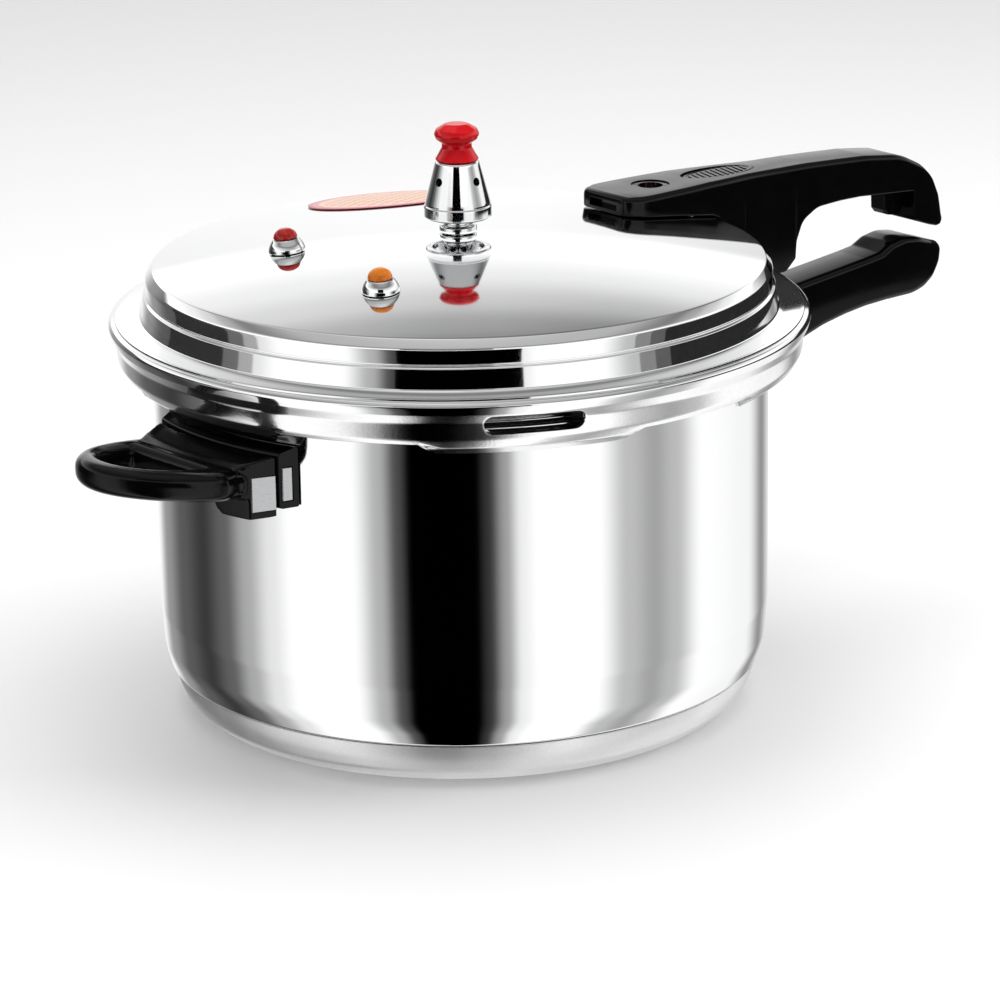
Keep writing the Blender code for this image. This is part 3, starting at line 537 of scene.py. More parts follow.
def make_lid():
    """Lid pressed from one sheet, with its lugs, relief window and the holes for the valves."""
    profile = np.array(lid_profile())
    travel, turned = along_profile(profile)
    below = np.argmax(profile[:, 1] < LID_BOTTOM + 8.4)
    split, total = travel[below], travel[-1]
    gap_edge = travel[np.argmax(profile[:, 1] < LID_BOTTOM + 7.4)]

    def surface(row, angle):
        if row > split:
            share = lug_share(angle, radians(16.5), radians(2.2))
            end = gap_edge + (total - gap_edge) * share
            row = split + (row - split) * (end - split) / (total - split)
        return turned(row, angle)

    def dome_hole(radius, azimuth):
        on_dome = profile[:DOME_ROWS, 0]
        return (np.interp(radius, on_dome, travel[:DOME_ROWS]), azimuth, obround(4.3, 4.3), 5.0, 5.0 / radius, radius)

    window_row = travel[np.argmin(np.abs(profile[:, 1] - LID_BOTTOM - 14.0) + (profile[:, 0] < LID_R - 8) * 99)]
    holes = [(window_row, LUG_OFFSET - 2 * LUG_PITCH, obround(19.5, 4.0), 4.9, radians(9.4), SKIRT_R)]
    for node in ("red_valve_body", "amber_valve_body"):
        x, y = seat_matrix(node).translation.xy / MM
        holes.append(dome_hole(hypot(x, y), atan2(y, x)))
    low, high = box_mm("float_guide")
    holes.append(dome_hole((low.x + high.x) / 2, 0.0))
    shape = skin(surface, list(travel), SHELL_COLUMNS, holes)
    for face in shape.faces:
        middle = face.calc_center_median() / MM
        face.material_index = 1 if middle.z < LID_BOTTOM + 19.0 else 0
    lid = place("lid_skin", shape, [POLISHED, SKIRT], "lid", "lid_shell", 50.0)
    thicken(lid, 2.6, -1.0).use_even_offset = True
    soften(lid, 0.45, 3, 55.0)


def make_label():
    """Thin oval film on the dome."""
    azimuth = radians(72.0)
    half_length, half_width, centre, rings, around = 33.5, 25.0, 86.0, 12, 72
    shape = bmesh.new()
    uv = shape.loops.layers.uv.new("oval")
    spots = {}

    def vertex(ring, index):
        share, angle = ring / rings, 2 * pi * index / around
        across, along = share * cos(angle), share * sin(angle)
        x = centre + along * half_width
        y = across * half_length
        turned = (x * cos(azimuth) + y * sin(azimuth), x * sin(azimuth) - y * cos(azimuth))
        made = shape.verts.new((turned[0] * MM, turned[1] * MM, (dome_z(hypot(x, y)) + 0.36) * MM))
        spots[made] = (across, along)
        return made
    middle = vertex(0, 0)
    layers = [[vertex(ring, index) for index in range(around)] for ring in range(1, rings + 1)]
    for index in range(around):
        after = (index + 1) % around
        shape.faces.new((middle, layers[0][index], layers[0][after]))
        for inner, outer in zip(layers, layers[1:]):
            shape.faces.new((inner[index], outer[index], outer[after], inner[after]))
    for face in shape.faces:
        for loop in face.loops:
            loop[uv].uv = spots[loop.vert]
    bmesh.ops.recalc_face_normals(shape, faces=shape.faces)
    if sum(face.normal.z for face in shape.faces) < 0:
        bmesh.ops.reverse_faces(shape, faces=shape.faces)
    thicken(place("label_film", shape, LABEL, "lid", "lid_label"), 0.2, 1.0)


# --- pot -------------------------------------------------------------------------------------

def make_pot():
    r, low = POT_R, BASE_LOW.z
    inner = r - 2.5
    lug_low, lug_high, lug_r, bead = RIM_Z - 9.0, RIM_Z - 5.0, POT_HIGH.y, r + 0.6
    corners = [(0.0, low + 8.2), (inner - 19.0, low + 8.2, 16.0), (inner - 1.8, low + 30.0, 60.0),
               (inner, low + 46.0, 60.0), (inner, RIM_Z - 0.01, 1.1), (r, RIM_Z, 1.1), (r, lug_high + 0.9, 0.6),
               (r + 1.0, lug_high, 0.4), (lug_r, lug_high, 1.0), (lug_r, lug_low, 1.0), (r + 1.0, lug_low, 0.4),
               (r, lug_low - 0.9, 0.6), (r, low + 42.0, 50.0), (r - 0.9, low + 26.0, 26.0),
               (r - 3.0, CREASE_Z + 1.2, 1.6), (r - 5.6, CREASE_Z + 0.4, 0.6), (r - 8.4, CREASE_Z + 0.3, 0.4),
               (r - 10.4, low + 11.0, 2.0), (r - 13.2, low + 7.4, 2.0), (r - 18.0, low + 5.2, 2.0),
               (0.0, low + 5.2)]
    profile = refine(fillet(corners, 7), 9.0)

    def lug(radius, z, angle):
        if radius <= bead:
            return radius
        return bead + (radius - bead) * lug_share(angle, radians(12.5), radians(1.2))

    shape = lathe(profile, SHELL_COLUMNS, lug=lug)
    for face in shape.faces:
        middle = face.calc_center_median() / MM
        face.normal_update()
        inside = middle.z > low + 8.0 and face.normal.xy.dot(middle.xy) < 1.0
        face.material_index = 1 if inside else 0
    place("pot_shell", shape, [POLISHED, SATIN], "pot", "pot_body", 45.0)


def make_base():
    r, low = BASE_HIGH.x, BASE_LOW.z
    corners = [(0.0, low + 4.9), (r - 12.8, low + 4.9, 2.0), (r - 7.8, low + 7.2, 2.0), (r - 5.0, low + 10.9, 2.0),
               (r - 2.9, CREASE_Z, 0.4), (r, CREASE_Z, 0.6), (r - 0.5, low + 12.0, 14.0), (r - 3.4, low + 5.8, 9.0),
               (r - 9.4, low + 0.5, 8.0), (r - 13.0, low, 3.0)]
    grooves = [(radius, low + (0.25 if step % 2 else 0.0))
               for step, radius in enumerate(np.arange(96.0, 12.0, -4.0))]
    profile = refine(fillet(corners, 6), 3.0) + grooves + [(0.0, low)]
    place("base_cup", lathe(profile, SHELL_COLUMNS), BASE_SATIN, "pot", "base_plate", 60.0)


def make_gasket():
    low, high = box_mm("gasket")
    outer, inner = high.x, 119.4
    corners = [(inner, high.z - 1.2), (inner + 1.0, high.z, 0.8), (outer - 4.0, high.z, 0.4),
               (outer - 5.0, high.z - 1.4, 0.6), (outer - 2.4, high.z - 1.6, 0.5), (outer, high.z - 0.6, 0.6),
               (outer, low.z + 0.8, 0.8), (outer - 1.4, low.z, 0.8), (inner + 1.0, low.z, 0.6), (inner, low.z + 1.0)]
    place("gasket_ring", lathe(fillet(corners, 4), SHELL_COLUMNS // 2, ring=True), SILICONE, "seal_ring",
          "gasket")


# --- weight, vent and valves -----------------------------------------------------------------

def make_weight():
    """Bell of the steam weight with four side openings, and its knob."""
    low, high = box_mm("weight_body")
    r, bottom, top = high.x, low.z, high.z
    corners = [(2.6, top), (8.0, top, 0.3), (8.8, top - 0.7, 0.5), (9.3, top - 2.6, 0.5), (13.0, bottom + 5.9, 0.6),
               (13.0, bottom + 5.2, 0.25), (r, bottom + 4.7, 0.4), (r, bottom + 0.5, 0.5), (r - 0.7, bottom, 0.3),
               (10.5, bottom, 0.3), (10.5, bottom + 2.7, 0.5), (6.2, bottom + 8.7, 0.5), (6.2, top - 3.8, 0.3),
               (2.6, top - 3.8)]
    profile = np.array(refine(fillet(corners, 3), 1.0))
    travel, surface = along_profile(profile)
    hole_row = travel[np.argmax(profile[:, 1] < top - 6.6)]
    hole_r = float(np.interp(hole_row, travel, profile[:, 0]))
    angles = [radians(8.0) + quarter * pi / 2 for quarter in range(4)]
    holes = [(hole_row, angle, obround(1.7, 1.7), 2.3, radians(14.5), hole_r) for angle in angles]
    shape = skin(surface, list(travel), SMALL_COLUMNS, holes)
    place("weight_bell", shape, CHROME, "weight", "weight_body", 40.0)

    low, high = box_mm("weight_knob")
    r, bottom, top = high.x, low.z, high.z
    corners = [(0.0, top), (4.6, top - 0.1, 4.0), (r - 0.9, top - 2.2, 2.0), (r, top - 4.2, 1.4),
               (8.2, top - 6.2, 1.2), (6.0, top - 7.8, 0.8), (6.0, top - 9.6, 1.6), (7.5, bottom + 2.2, 3.0),
               (8.6, bottom + 0.4, 0.4), (8.4, bottom, 0.2), (2.6, bottom), (2.6, bottom + 8.5), (0.0, bottom + 8.5)]
    place("weight_knob_fine", lathe(refine(fillet(corners, 6), 1.2)), RED, "weight", "weight_knob")


def make_vent_pipe():
    low, high = box_mm("vent_pipe")
    top, flange = high.z, low.z + 10.8
    corners = [(1.5, top), (1.9, top), (3.0, top - 1.2, 0.5), (3.0, flange + 5.9, 0.3), (5.3, flange + 5.6, 0.4),
               (5.8, flange + 5.0, 0.3), (5.8, flange + 4.4, 0.2), (5.2, flange + 4.1, 0.2), (5.2, flange + 3.6, 0.2),
               (5.8, flange + 3.3, 0.2), (5.8, flange + 2.9, 0.3), (7.1, flange + 2.8, 0.2), (7.5, flange + 2.3, 0.3),
               (7.5, flange + 0.3, 0.3), (7.1, flange, 0.2), (4.2, flange), (4.2, low.z, 0.3), (1.5, low.z)]
    place("vent_pipe_fine", lathe(fillet(corners, 3), 64, ring=True), CHROME, "lid", "vent_pipe")


def make_valve(colour, cap_material):
    seat = seat_matrix(f"{colour}_valve_body")
    body = [(2.9, 5.2), (4.9, 5.2, 0.2), (5.3, 4.9, 0.3), (6.5, 3.2, 6.0), (7.2, 1.6, 4.0), (7.4, 0.6, 0.2),
            (7.4, 0.35), (3.9, 0.35), (3.9, -10.5), (1.6, -10.5), (1.6, -9.3), (2.9, -9.3)]
    place(f"{colour}_valve_body_fine", lathe(fillet(body, 4), 64, True, seat), CHROME, "lid",
          f"{colour}_valve_body")
    cap = [(0.0, 9.2), (2.2, 9.1, 4.0), (4.2, 7.6, 3.0), (4.8, 5.9, 0.8), (4.8, 5.5, 0.2), (2.5, 5.5), (2.5, 4.2),
           (0.0, 4.2)]
    place(f"{colour}_valve_cap_fine", lathe(refine(fillet(cap, 6), 1.0), 64, False, seat), cap_material, "lid",
          f"{colour}_valve_cap")


# --- handles ---------------------------------------------------------------------------------

STATION_GAP = 1.6
STATION_MERGE = 0.04
CORNER_STEPS = 5


def section(half, low, high, corner, under_corner):
    """Rectangle rounded by one radius above and another below, as (y, z) points."""
    above, below = (min(radius, half * 0.96, (high - low) * 0.48) for radius in (corner, under_corner))
    points = []
    for side, z, start, radius in ((1, high - above, 0, above), (-1, high - above, 90, above),
                                   (-1, low + below, 180, below), (1, low + below, 270, below)):
        for step in range(CORNER_STEPS + 1):
            angle = radians(start + 90 * step / CORNER_STEPS)
            points.append((side * (half - radius) + radius * cos(angle), z + radius * sin(angle)))
    return points


def close_rings(shape, rings):
    """Skin a row of rings into a closed solid."""
    for ring, following in zip(rings, rings[1:]):
        for index in range(len(ring)):
            after = (index + 1) % len(ring)
            shape.faces.new((ring[index], following[index], following[after], ring[after]))
    shape.faces.new(rings[0])
    shape.faces.new(list(reversed(rings[-1])))
    bmesh.ops.recalc_face_normals(shape, faces=shape.faces)
    return shape


def long_body(lows, highs, halves, corner, under_corner):
    """Long moulded body along X, skinned over rounded sections that follow three curves of x."""
    ends = (max(lows[0][0], highs[0][0]), min(lows[-1][0], highs[-1][0]))
    stations = {x for x, _ in lows + highs + halves} | set(np.arange(ends[0], ends[1], STATION_GAP))
    kept = []
    for x in sorted(x for x in stations if ends[0] <= x <= ends[1]):
        if not kept or x - kept[-1] > STATION_MERGE:
            kept.append(x)
    shape = bmesh.new()
    rings = []
    for x in kept:
        low, high = (float(np.interp(x, *zip(*curve))) for curve in (lows, highs))
        spread = min(5.0, x - ends[0], ends[1] - x)
        half = float(np.mean(np.interp(x + spread * np.linspace(-1.0, 1.0, 9), *zip(*halves))))
        outline = section(half, low, high, corner, under_corner)
        rings.append([shape.verts.new((x * MM, y * MM, z * MM)) for y, z in outline])
    return close_rings(shape, rings)


def carve(piece, tools, operation="DIFFERENCE"):
    """Cut solids away from a piece, or join them to it, and drop them."""
    for tool in tools:
        boolean = piece.modifiers.new(tool.name, "BOOLEAN")
        boolean.operation = operation
        boolean.solver = "EXACT"
        boolean.object = tool
    bpy.context.view_layer.update()
    mesh = bpy.data.meshes.new_from_object(piece.evaluated_get(bpy.context.evaluated_depsgraph_get()))
    piece.modifiers.clear()
    piece.data = mesh
    mesh.shade_smooth()
    mesh.set_sharp_from_angle(angle=radians(32))
    for tool in tools:
        bpy.data.objects.remove(tool, do_unlink=True)


def cuboid(x, y, z):
    shape = bmesh.new()
    bmesh.ops.create_cube(shape, size=1.0)
    for vertex in shape.verts:
        for axis, (low, high) in enumerate((x, y, z)):
            vertex.co[axis] = ((low + high) / 2 + vertex.co[axis] * (high - low)) * MM
    return shape


def drum(x, radius, z, steps=48, half_width=None):
    """Upright round or oval cutter."""
    half_width = half_width or radius
    shape = lathe([(0.0, z[1]), (1.0, z[1]), (1.0, z[0]), (0.0, z[0])], steps)
    for vertex in shape.verts:
        vertex.co.x = vertex.co.x * radius + x * MM
        vertex.co.y *= half_width
    return shape


def make_lid_handle():
    low, high = box_mm("lid_handle")
    nose = low.x
    x0, x1, top = low.x + 5.0, high.x, high.z - 0.6
    under = [(nose, dome_z(nose) + 0.4), (x0 + 20.0, dome_z(x0 + 20.0) + 0.4), (x0 + 41.0, dome_z(x0 + 41.0) + 0.4),
             (x0 + 45.1, top - 15.2, 1.0), (x0 + 45.3, top - 24.2, 0.6), (x0 + 47.4, top - 24.6, 0.6),
             (x0 + 47.6, top - 32.5, 0.6), (x0 + 60.4, top - 32.6, 0.6), (x0 + 60.7, top - 45.8, 1.2),
             (x0 + 86.0, top - 45.8, 3.0), (x0 + 91.3, top - 41.2, 1.5), (x0 + 91.8, top - 34.0, 8.0),
             (x0 + 95.5, top - 25.5, 8.0), (x0 + 104.0, top - 20.9, 12.0), (x0 + 117.0, top - 20.2, 20.0),
             (x0 + 129.0, top - 20.3, 20.0), (x0 + 141.0, top - 21.3, 10.0), (x0 + 160.3, top - 22.8, 0.5),
             (x0 + 160.9, top - 35.9, 0.6), (x0 + 170.2, top - 39.3, 3.0), (x0 + 175.3, top - 40.8, 2.0),
             (x0 + 178.4, top - 40.7, 1.0), (x1, top - 39.6)]
    over = [(nose, top - 0.8), (nose + 0.6, top + 0.3, 0.5), (nose + 2.6, top + 0.6, 1.0),
            (x0 + 42.0, top + 0.6, 60.0), (x0 + 65.0, top, 60.0), (x0 + 85.0, top - 0.9, 50.0),
            (x0 + 100.0, top - 1.3, 50.0), (x0 + 117.0, top - 2.2, 50.0),
            (x0 + 133.0, top - 3.2, 50.0), (x0 + 153.0, top - 5.8, 30.0), (x0 + 165.4, top - 11.9, 22.0),
            (x0 + 172.2, top - 17.9, 14.0), (x0 + 176.2, top - 25.2, 8.0), (x1, top - 36.6)]
    width = high.y
    halves = [(nose, width - 7.0), (nose + 0.5, width - 5.2), (nose + 1.6, width - 3.4),
              (nose + 3.6, width - 1.6, 2.0), (nose + 7.0, width - 0.5, 3.0), (nose + 11.0, width),
              (x0 + 30.0, width - 1.0), (x0 + 50.0, width - 3.0, 20.0), (x0 + 65.0, width - 5.2, 20.0),
              (x0 + 80.0, width - 6.6, 30.0), (x0 + 95.0, width - 7.0, 30.0), (x0 + 165.0, width - 7.0, 20.0),
              (x0 + 175.0, width - 8.0, 5.0), (x1, width - 9.8)]
    body = long_body(fillet(under), fillet(over), fillet(halves), 2.6, 0.7)
    handle = place("lid_handle_fine", body, BLACK, "lid", "lid_handle")
    cap_low, cap_high = box_mm("float_cap")
    hole_x = (cap_low.x + cap_high.x) / 2
    bar_high = box_mm("lock_bar")[1]
    badge_low, badge_high = box_mm("handle_badge")
    badge_x, badge_half = (badge_low.x + badge_high.x) / 2, (badge_high.x - badge_low.x) / 2
    half = bar_high.y + 0.6
    roof = bar_high.z + 0.6
    tools = [cuboid((x0 + 7.5, x0 + 46.0), (-half, half), (top - 20.0, roof)),
             cuboid((x0 + 40.0, x0 + 134.0), (-half, half), (top - 9.4, roof)),
             cuboid((x0 + 61.0, x0 + 73.0), (-half, half), (top - 54.0, roof - 2.2)),
             cuboid((x0 + 109.7, x0 + 137.5), (-5.0, 5.0), (top - 26.0, top - 7.2)),
             cuboid((x0 + 136.0, x0 + 160.2), (-5.0, 5.0), (top - 40.0, top - 10.5)),
             cuboid((x0 + 99.6, x0 + 136.8), (-7.2, 7.2), (top - 29.0, top - 18.2)),
             cuboid((x0 + 44.0, x0 + 88.5), (-9.4, 9.4), (top - 33.2, top - 30.4)),
             cuboid((nose - 3.0, nose + 3.4), (-8.5, 8.5), (top - 5.4, top - 2.0)),
             drum(hole_x, 5.25, (top - 14.0, top + 4.0)),
             drum(hole_x, 8.0, (top + 0.1, top + 4.0), 64),
             drum(badge_x, badge_half + 0.4, (top - 1.4, top + 4.0), 64, badge_high.y + 0.4),
             drum(REAR_SCREW_X, 3.9, (top - 50.0, top - 41.9))]
    carve(handle, [stand(f"lid_handle_cut_{number}", tool) for number, tool in enumerate(tools)])
    soften(handle, 0.35, 2, 40.0)

    plate_top = badge_high.z
    disc = drum(badge_x, badge_half, (badge_low.z, plate_top - 0.3), 64, badge_high.y)
    rim = lathe([(0.965, plate_top), (1.0, plate_top - 0.2), (1.0, plate_top - 0.35), (0.90, plate_top - 0.35),
                 (0.90, plate_top - 0.2)], 64, True)
    for vertex in rim.verts:
        vertex.co.x = vertex.co.x * badge_half * 0.97 + badge_x * MM
        vertex.co.y = vertex.co.y * badge_high.y * 0.97
    ribs = []
    for number in range(-5, 6):
        offset = number * 2.8
        reach = badge_high.y * 0.72 * sqrt(max(0.0, 1.0 - (offset / (badge_half * 0.84)) ** 2))
        if reach < 1.5:
            continue
        rib = cuboid((-0.55, 0.55), (-reach, reach), (plate_top - 0.4, plate_top))
        for vertex in rib.verts:
            vertex.co.x += (badge_x + offset) * MM + vertex.co.y * 0.25
        ribs.append(rib)
    badge = place("badge_fine", join([disc, rim] + ribs), BLACK, "lid", "handle_badge")
    soften(badge, 0.12, 2)


def make_pot_handle():
    low, high = box_mm("pot_handle")
    x0, x1, top, bottom = low.x, high.x, high.z, low.z
    under = [(x0, bottom), (x0 + 13.8, bottom + 4.0, 20.0), (x0 + 33.8, bottom + 11.5, 40.0),
             (x0 + 51.8, bottom + 18.0, 40.0), (x0 + 62.8, bottom + 21.4, 40.0), (x0 + 75.8, bottom + 23.9, 40.0),
             (x0 + 87.8, bottom + 25.4, 40.0), (x0 + 99.8, bottom + 26.0, 40.0), (x0 + 115.3, bottom + 26.2, 20.0),
             (x0 + 121.8, bottom + 27.8, 10.0), (x0 + 127.8, bottom + 31.2, 8.0), (x0 + 131.2, bottom + 35.7, 5.0),
             (x1, bottom + 40.4)]
    over = [(x0, top - 15.2), (x0 + 32.4, top - 15.2, 0.6), (x0 + 35.3, top - 11.6, 2.0),
            (x0 + 49.8, top - 9.8, 30.0), (x0 + 70.8, top - 7.5, 40.0), (x0 + 87.8, top - 5.6, 20.0),
            (x0 + 96.3, top - 4.4, 6.0), (x0 + 102.5, top - 1.3, 7.0), (x0 + 109.8, top, 14.0),
            (x0 + 117.0, top - 0.8, 20.0), (x0 + 125.8, top - 3.8, 12.0), (x0 + 131.2, top - 5.4, 3.0), (x1, top - 7.0)]
    halves = [(x0, high.y), (x0 + 13.8, high.y - 1.5, 20.0), (x0 + 33.8, high.y - 3.6, 30.0),
              (x0 + 51.8, high.y - 4.0, 20.0), (x0 + 121.8, high.y - 4.0, 10.0), (x0 + 131.2, high.y - 5.6, 4.0),
              (x1, high.y - 7.4)]
    body = long_body(fillet(under), fillet(over), fillet(halves), 3.2, 3.2)
    handle = place("pot_handle_fine", body, BLACK, "pot", "pot_handle")
    bracket_slot, screw_well = (115.6, 119.4), (90.0, 111.3)
    screw_low, screw_high = box_mm("pot_handle_screw")
    screw_x = (screw_low.x + screw_high.x) / 2
    tools = [cuboid((x0 - 6.0, x0 + 40.4), (-6.4, 6.4), bracket_slot),
             drum(screw_x, 4.0, screw_well),
             cuboid((x0 + 60.0, x0 + 118.0), (-7.0, 7.0), (bottom, bottom + 30.6))]
    carve(handle, [stand(f"pot_handle_cut_{number}", tool) for number, tool in enumerate(tools)])
    soften(handle, 0.5, 3, 40.0)


SIDE_AZIMUTH = 184.5
LOOP_RISE = 0.15
GRIP_INNER = 131.0
GRIP_SLANT = 0.0193
NEAR_SHARE = 0.8


def bent_block(profile, first, last, bottom=None, slant=0.0, steps=48):
    """Solid swept round the axis between two angles off the helper handle's middle, from (radius, z) points.

    bottom(angle) may lift the lowest points of the section; slant draws the ends in, per millimetre outward.
    """
    shape = bmesh.new()
    rings = []
    for step in range(steps + 1):
        turn = first + (last - first) * step / steps
        floor = bottom(turn) if bottom else -1000.0
        ring = []
        for radius, z in profile:
            angle = radians(SIDE_AZIMUTH + turn * (1.0 - slant * (radius - GRIP_INNER)))
            ring.append(shape.verts.new((radius * cos(angle) * MM, radius * sin(angle) * MM, max(z, floor) * MM)))
        rings.append(ring)
    return close_rings(shape, rings)


def loop_block(low, high):
    """The grip's rounded loop as a closed solid, rising outward from the pot."""
    outer_half, outer_reach, root = 35.2, 53.3, 135.5
    hole_half, hole_start, hole_reach = 23.0, 150.0, 27.0
    edge, steps, turns = 4.8, 16, 48
    shape = bmesh.new()

    def layers(half, start, reach, outward, power):
        made = []
        for step in range(steps + 1):
            angle = radians(-90 + 180 * step / steps)
            inset = edge * (1 - cos(angle))
            height = (low + high) / 2 + ((high - low) / 2 - edge) * (1 if angle > 0 else -1 if angle < 0 else 0)
            height += edge * sin(angle)
            sign = 1.0 if outward else -1.0
            row = []
            for turn in range(turns + 1):
                sweep = pi * turn / turns
                along = start + (reach - sign * inset) * abs(sin(sweep)) ** power
                if not outward:
                    along -= inset * (1 - abs(sin(sweep)) ** 0.5)
                across = (half - sign * inset) * cos(sweep)
                if across > 0:
                    across *= 1.0 - 0.13 * (1.0 - smoothstep(along, 138.0, 153.0)) if outward else NEAR_SHARE
                row.append((along, across, height))
            made.append(row)
        return made

    outer = layers(outer_half, root, outer_reach, True, 1.0)
    inner = layers(hole_half, hole_start, hole_reach, False, 0.7)
    outside, inside = ([[shape.verts.new((-along * MM, -across * MM, height * MM)) for along, across, height in row]
                        for row in rows] for rows in (outer, inner))
    pairs = [*zip(outside, outside[1:]), *zip(inside, inside[1:]), (outside[0], inside[0]), (outside[-1], inside[-1])]
    for first, second in pairs:
        for index in range(turns + 1):
            after = (index + 1) % (turns + 1)
            shape.faces.new((first[index], first[after], second[after], second[index]))
    for vertex in shape.verts:
        vertex.co.z -= LOOP_RISE * (vertex.co.x + 140.0 * MM)
    bmesh.ops.recalc_face_normals(shape, faces=shape.faces)
    shape.transform(Matrix.Rotation(radians(SIDE_AZIMUTH - 180.0), 4, "Z"))
    return shape


def make_side_handle():
    floor, half = box_mm("side_handle_grip")[0].z, 15.4
    top = floor + 24.0

    def arch(turn):
        return floor + 9.0 * (1.0 - smoothstep(abs(turn), 3.5, 8.5))

    saddle = bent_block([(131.0, floor), (131.0, top - 0.8), (132.0, top), (141.0, top - 1.8), (147.0, top - 3.8),
                         (147.0, floor + 9.6), (140.4, floor + 8.6), (140.4, floor)], -half, half, arch, GRIP_SLANT)
    grip = place("side_handle_grip_fine", saddle, BLACK, "pot", "side_handle_grip")
    carve(grip, [stand("grip_loop", loop_block(floor + 8.8, floor + 20.4))], "UNION")
    ends = [(124.0, 100.0), (124.0, 140.0), (142.0, 140.0), (142.0, 100.0)]
    carve(grip, [stand(f"grip_end_{side}", bent_block(ends, side * half, side * (half + 9.0), None, GRIP_SLANT, 12))
                 for side in (-1, 1)])
    remesh = grip.modifiers.new("fuse", "REMESH")
    remesh.mode = "VOXEL"
    remesh.voxel_size = 0.55 * MM
    smooth = grip.modifiers.new("blend", "SMOOTH")
    smooth.factor = 0.6
    smooth.iterations = 14
    pocket = [(131.3, 111.4), (131.3, 125.4), (139.7, 125.4), (139.7, 111.4)]
    carve(grip, [stand(f"insert_slot_{side}", bent_block(pocket, side * 11.4, side * 20.0, None, GRIP_SLANT, 12))
                 for side in (-1, 1)])
    plates = [bent_block([(131.5, 111.6), (131.5, 125.2), (139.5, 125.2), (139.5, 111.6)],
                         side * 11.6, side * (half - 0.1), None, GRIP_SLANT, 12) for side in (-1, 1)]
    insert = place("side_handle_insert_fine", join(plates), STEEL, "pot", "side_handle_insert")
    soften(insert, 0.25, 2, 50.0)

    base = bent_block(fillet([(123.6, 118.0), (123.6, 135.5, 0.8), (130.5, 133.4, 1.4), (130.5, 111.6, 1.4),
                              (123.6, 111.6, 0.8), (123.6, 117.9)]), -15.3, 15.3, None, GRIP_SLANT)
    block = place("side_handle_base_fine", base, BLACK, "pot", "side_handle_base")
    carve(block, [stand("strap_slot", bent_block([(125.7, 114.3), (125.7, 127.9), (129.6, 127.9), (129.6, 114.3)],
                                                  -20.0, 20.0))])
    soften(block, 0.6, 3, 50.0)
    bar = bent_block([(126.0, 114.6), (126.0, 127.6), (129.3, 127.6), (129.3, 114.6)],
                     -15.35, 15.35, None, GRIP_SLANT)
    strap = place("side_handle_strap_fine", bar, STEEL, "pot", "side_handle_strap")
    soften(strap, 0.2, 2, 50.0)


# --- the rest of the CAD keeps its shape and gets its material ---------------------------------

FINISHES = {"polished_aluminium": POLISHED, "satin_aluminium": SATIN, "black_bakelite": BLACK, "chrome": CHROME,
            "steel": STEEL, "brass": BRASS, "dark_silicone": SILICONE, "red_plastic": RED, "amber_plastic": AMBER,
            "label_film": LABEL}


def finish_cad():
    for entry in frame["record"]["subparts"]:
        node = frame["nodes"][entry["node"]]
        node.data.materials.clear()
        node.data.materials.append(FINISHES[entry["material_slot"]])
        for face in node.data.polygons:
            face.material_index = 0


# --- camera, light and floor -----------------------------------------------------------------

CAMERA_AT = Vector((-1.0218, -1.3079, 0.5984))
CAMERA_HEADING = 51.487
CAMERA_PITCH = -17.37
CAMERA_ROLL = -0.89
CAMERA_LENS = 154.8


def make_camera():
    heading, pitch, roll = radians(CAMERA_HEADING), radians(CAMERA_PITCH), radians(CAMERA_ROLL)
    ahead = Vector((cos(pitch) * cos(heading), cos(pitch) * sin(heading), sin(pitch)))
    level = ahead.cross(Vector((0.0, 0.0, 1.0))).normalized()
    above = level.cross(ahead)
    right = level * cos(roll) + above * sin(roll)
    up = right.cross(ahead)
    data = bpy.data.cameras.new("camera")
    data.lens = CAMERA_LENS
    data.clip_start = 0.05
    camera = bpy.data.objects.new("camera", data)
    bpy.context.scene.collection.objects.link(camera)
    camera.matrix_world = Matrix.Translation(CAMERA_AT) @ Matrix((right, up, -ahead)).transposed().to_4x4()
    bpy.context.scene.camera = camera


# Brightness round the room, by angle from the camera's side, positive towards the picture's right.
BANDS = [(-180, 1.05), (-166, 0.95), (-148, 0.32), (-131, 0.11), (-114, 0.045), (-100, 0.13), (-88, 0.44),
         (-76, 0.86), (-66, 1.12), (-42, 1.12), (-31, 0.48), (-24, 0.08), (-19, 0.0), (5, 0.0), (10, 0.04),
         (16, 0.37), (22, 0.95), (28, 1.12), (50, 1.15), (64, 0.56), (76, 0.40), (86, 0.54), (101, 1.1),
         (134, 1.0), (152, 0.31), (166, 0.7), (180, 1.05)]
# Brightness of the room from the horizon up, by elevation in degrees.
SKY = [(-90, 1.1), (0, 1.1), (13, 1.1), (15.5, 1.5), (18.5, 1.45), (21, 1.06), (24, 0.95), (29, 0.72), (33, 0.46),
       (38, 0.24), (50, 0.5), (90, 0.85)]
# How much of that brightness is left high up, by angle from the camera's side.
SIDES = [(-180, 0.85), (-172, 1.1), (-150, 1.2), (-90, 1.0), (90, 1.0), (150, 0.45), (172, 0.5), (180, 0.85)]
# Where the sky takes over from the bands, and where the sides start to count, by elevation in degrees.
UPWARD = [(-90, 0.0), (12.5, 0.0), (16, 1.0), (90, 1.0)]
HIGH_UP = [(-90, 0.0), (22, 0.0), (36, 1.0), (90, 1.0)]


def ramp(tree, value, stops):
    """Colour ramp of greys from (position, brightness) stops that run from the first position to the last."""
    low, high = stops[0][0], stops[-1][0]
    made = tree.nodes.new("ShaderNodeValToRGB")
    made.color_ramp.interpolation = "EASE"
    elements = made.color_ramp.elements
    while len(elements) > 1:
        elements.remove(elements[0])
    for index, (position, brightness) in enumerate(stops):
        place_at = (position - low) / (high - low)
        element = elements[0] if index == 0 else elements.new(place_at)
        element.position = place_at
        element.color = (brightness, brightness, brightness, 1.0)
    tree.links.new(value, made.inputs["Fac"])
    return made.outputs["Color"]


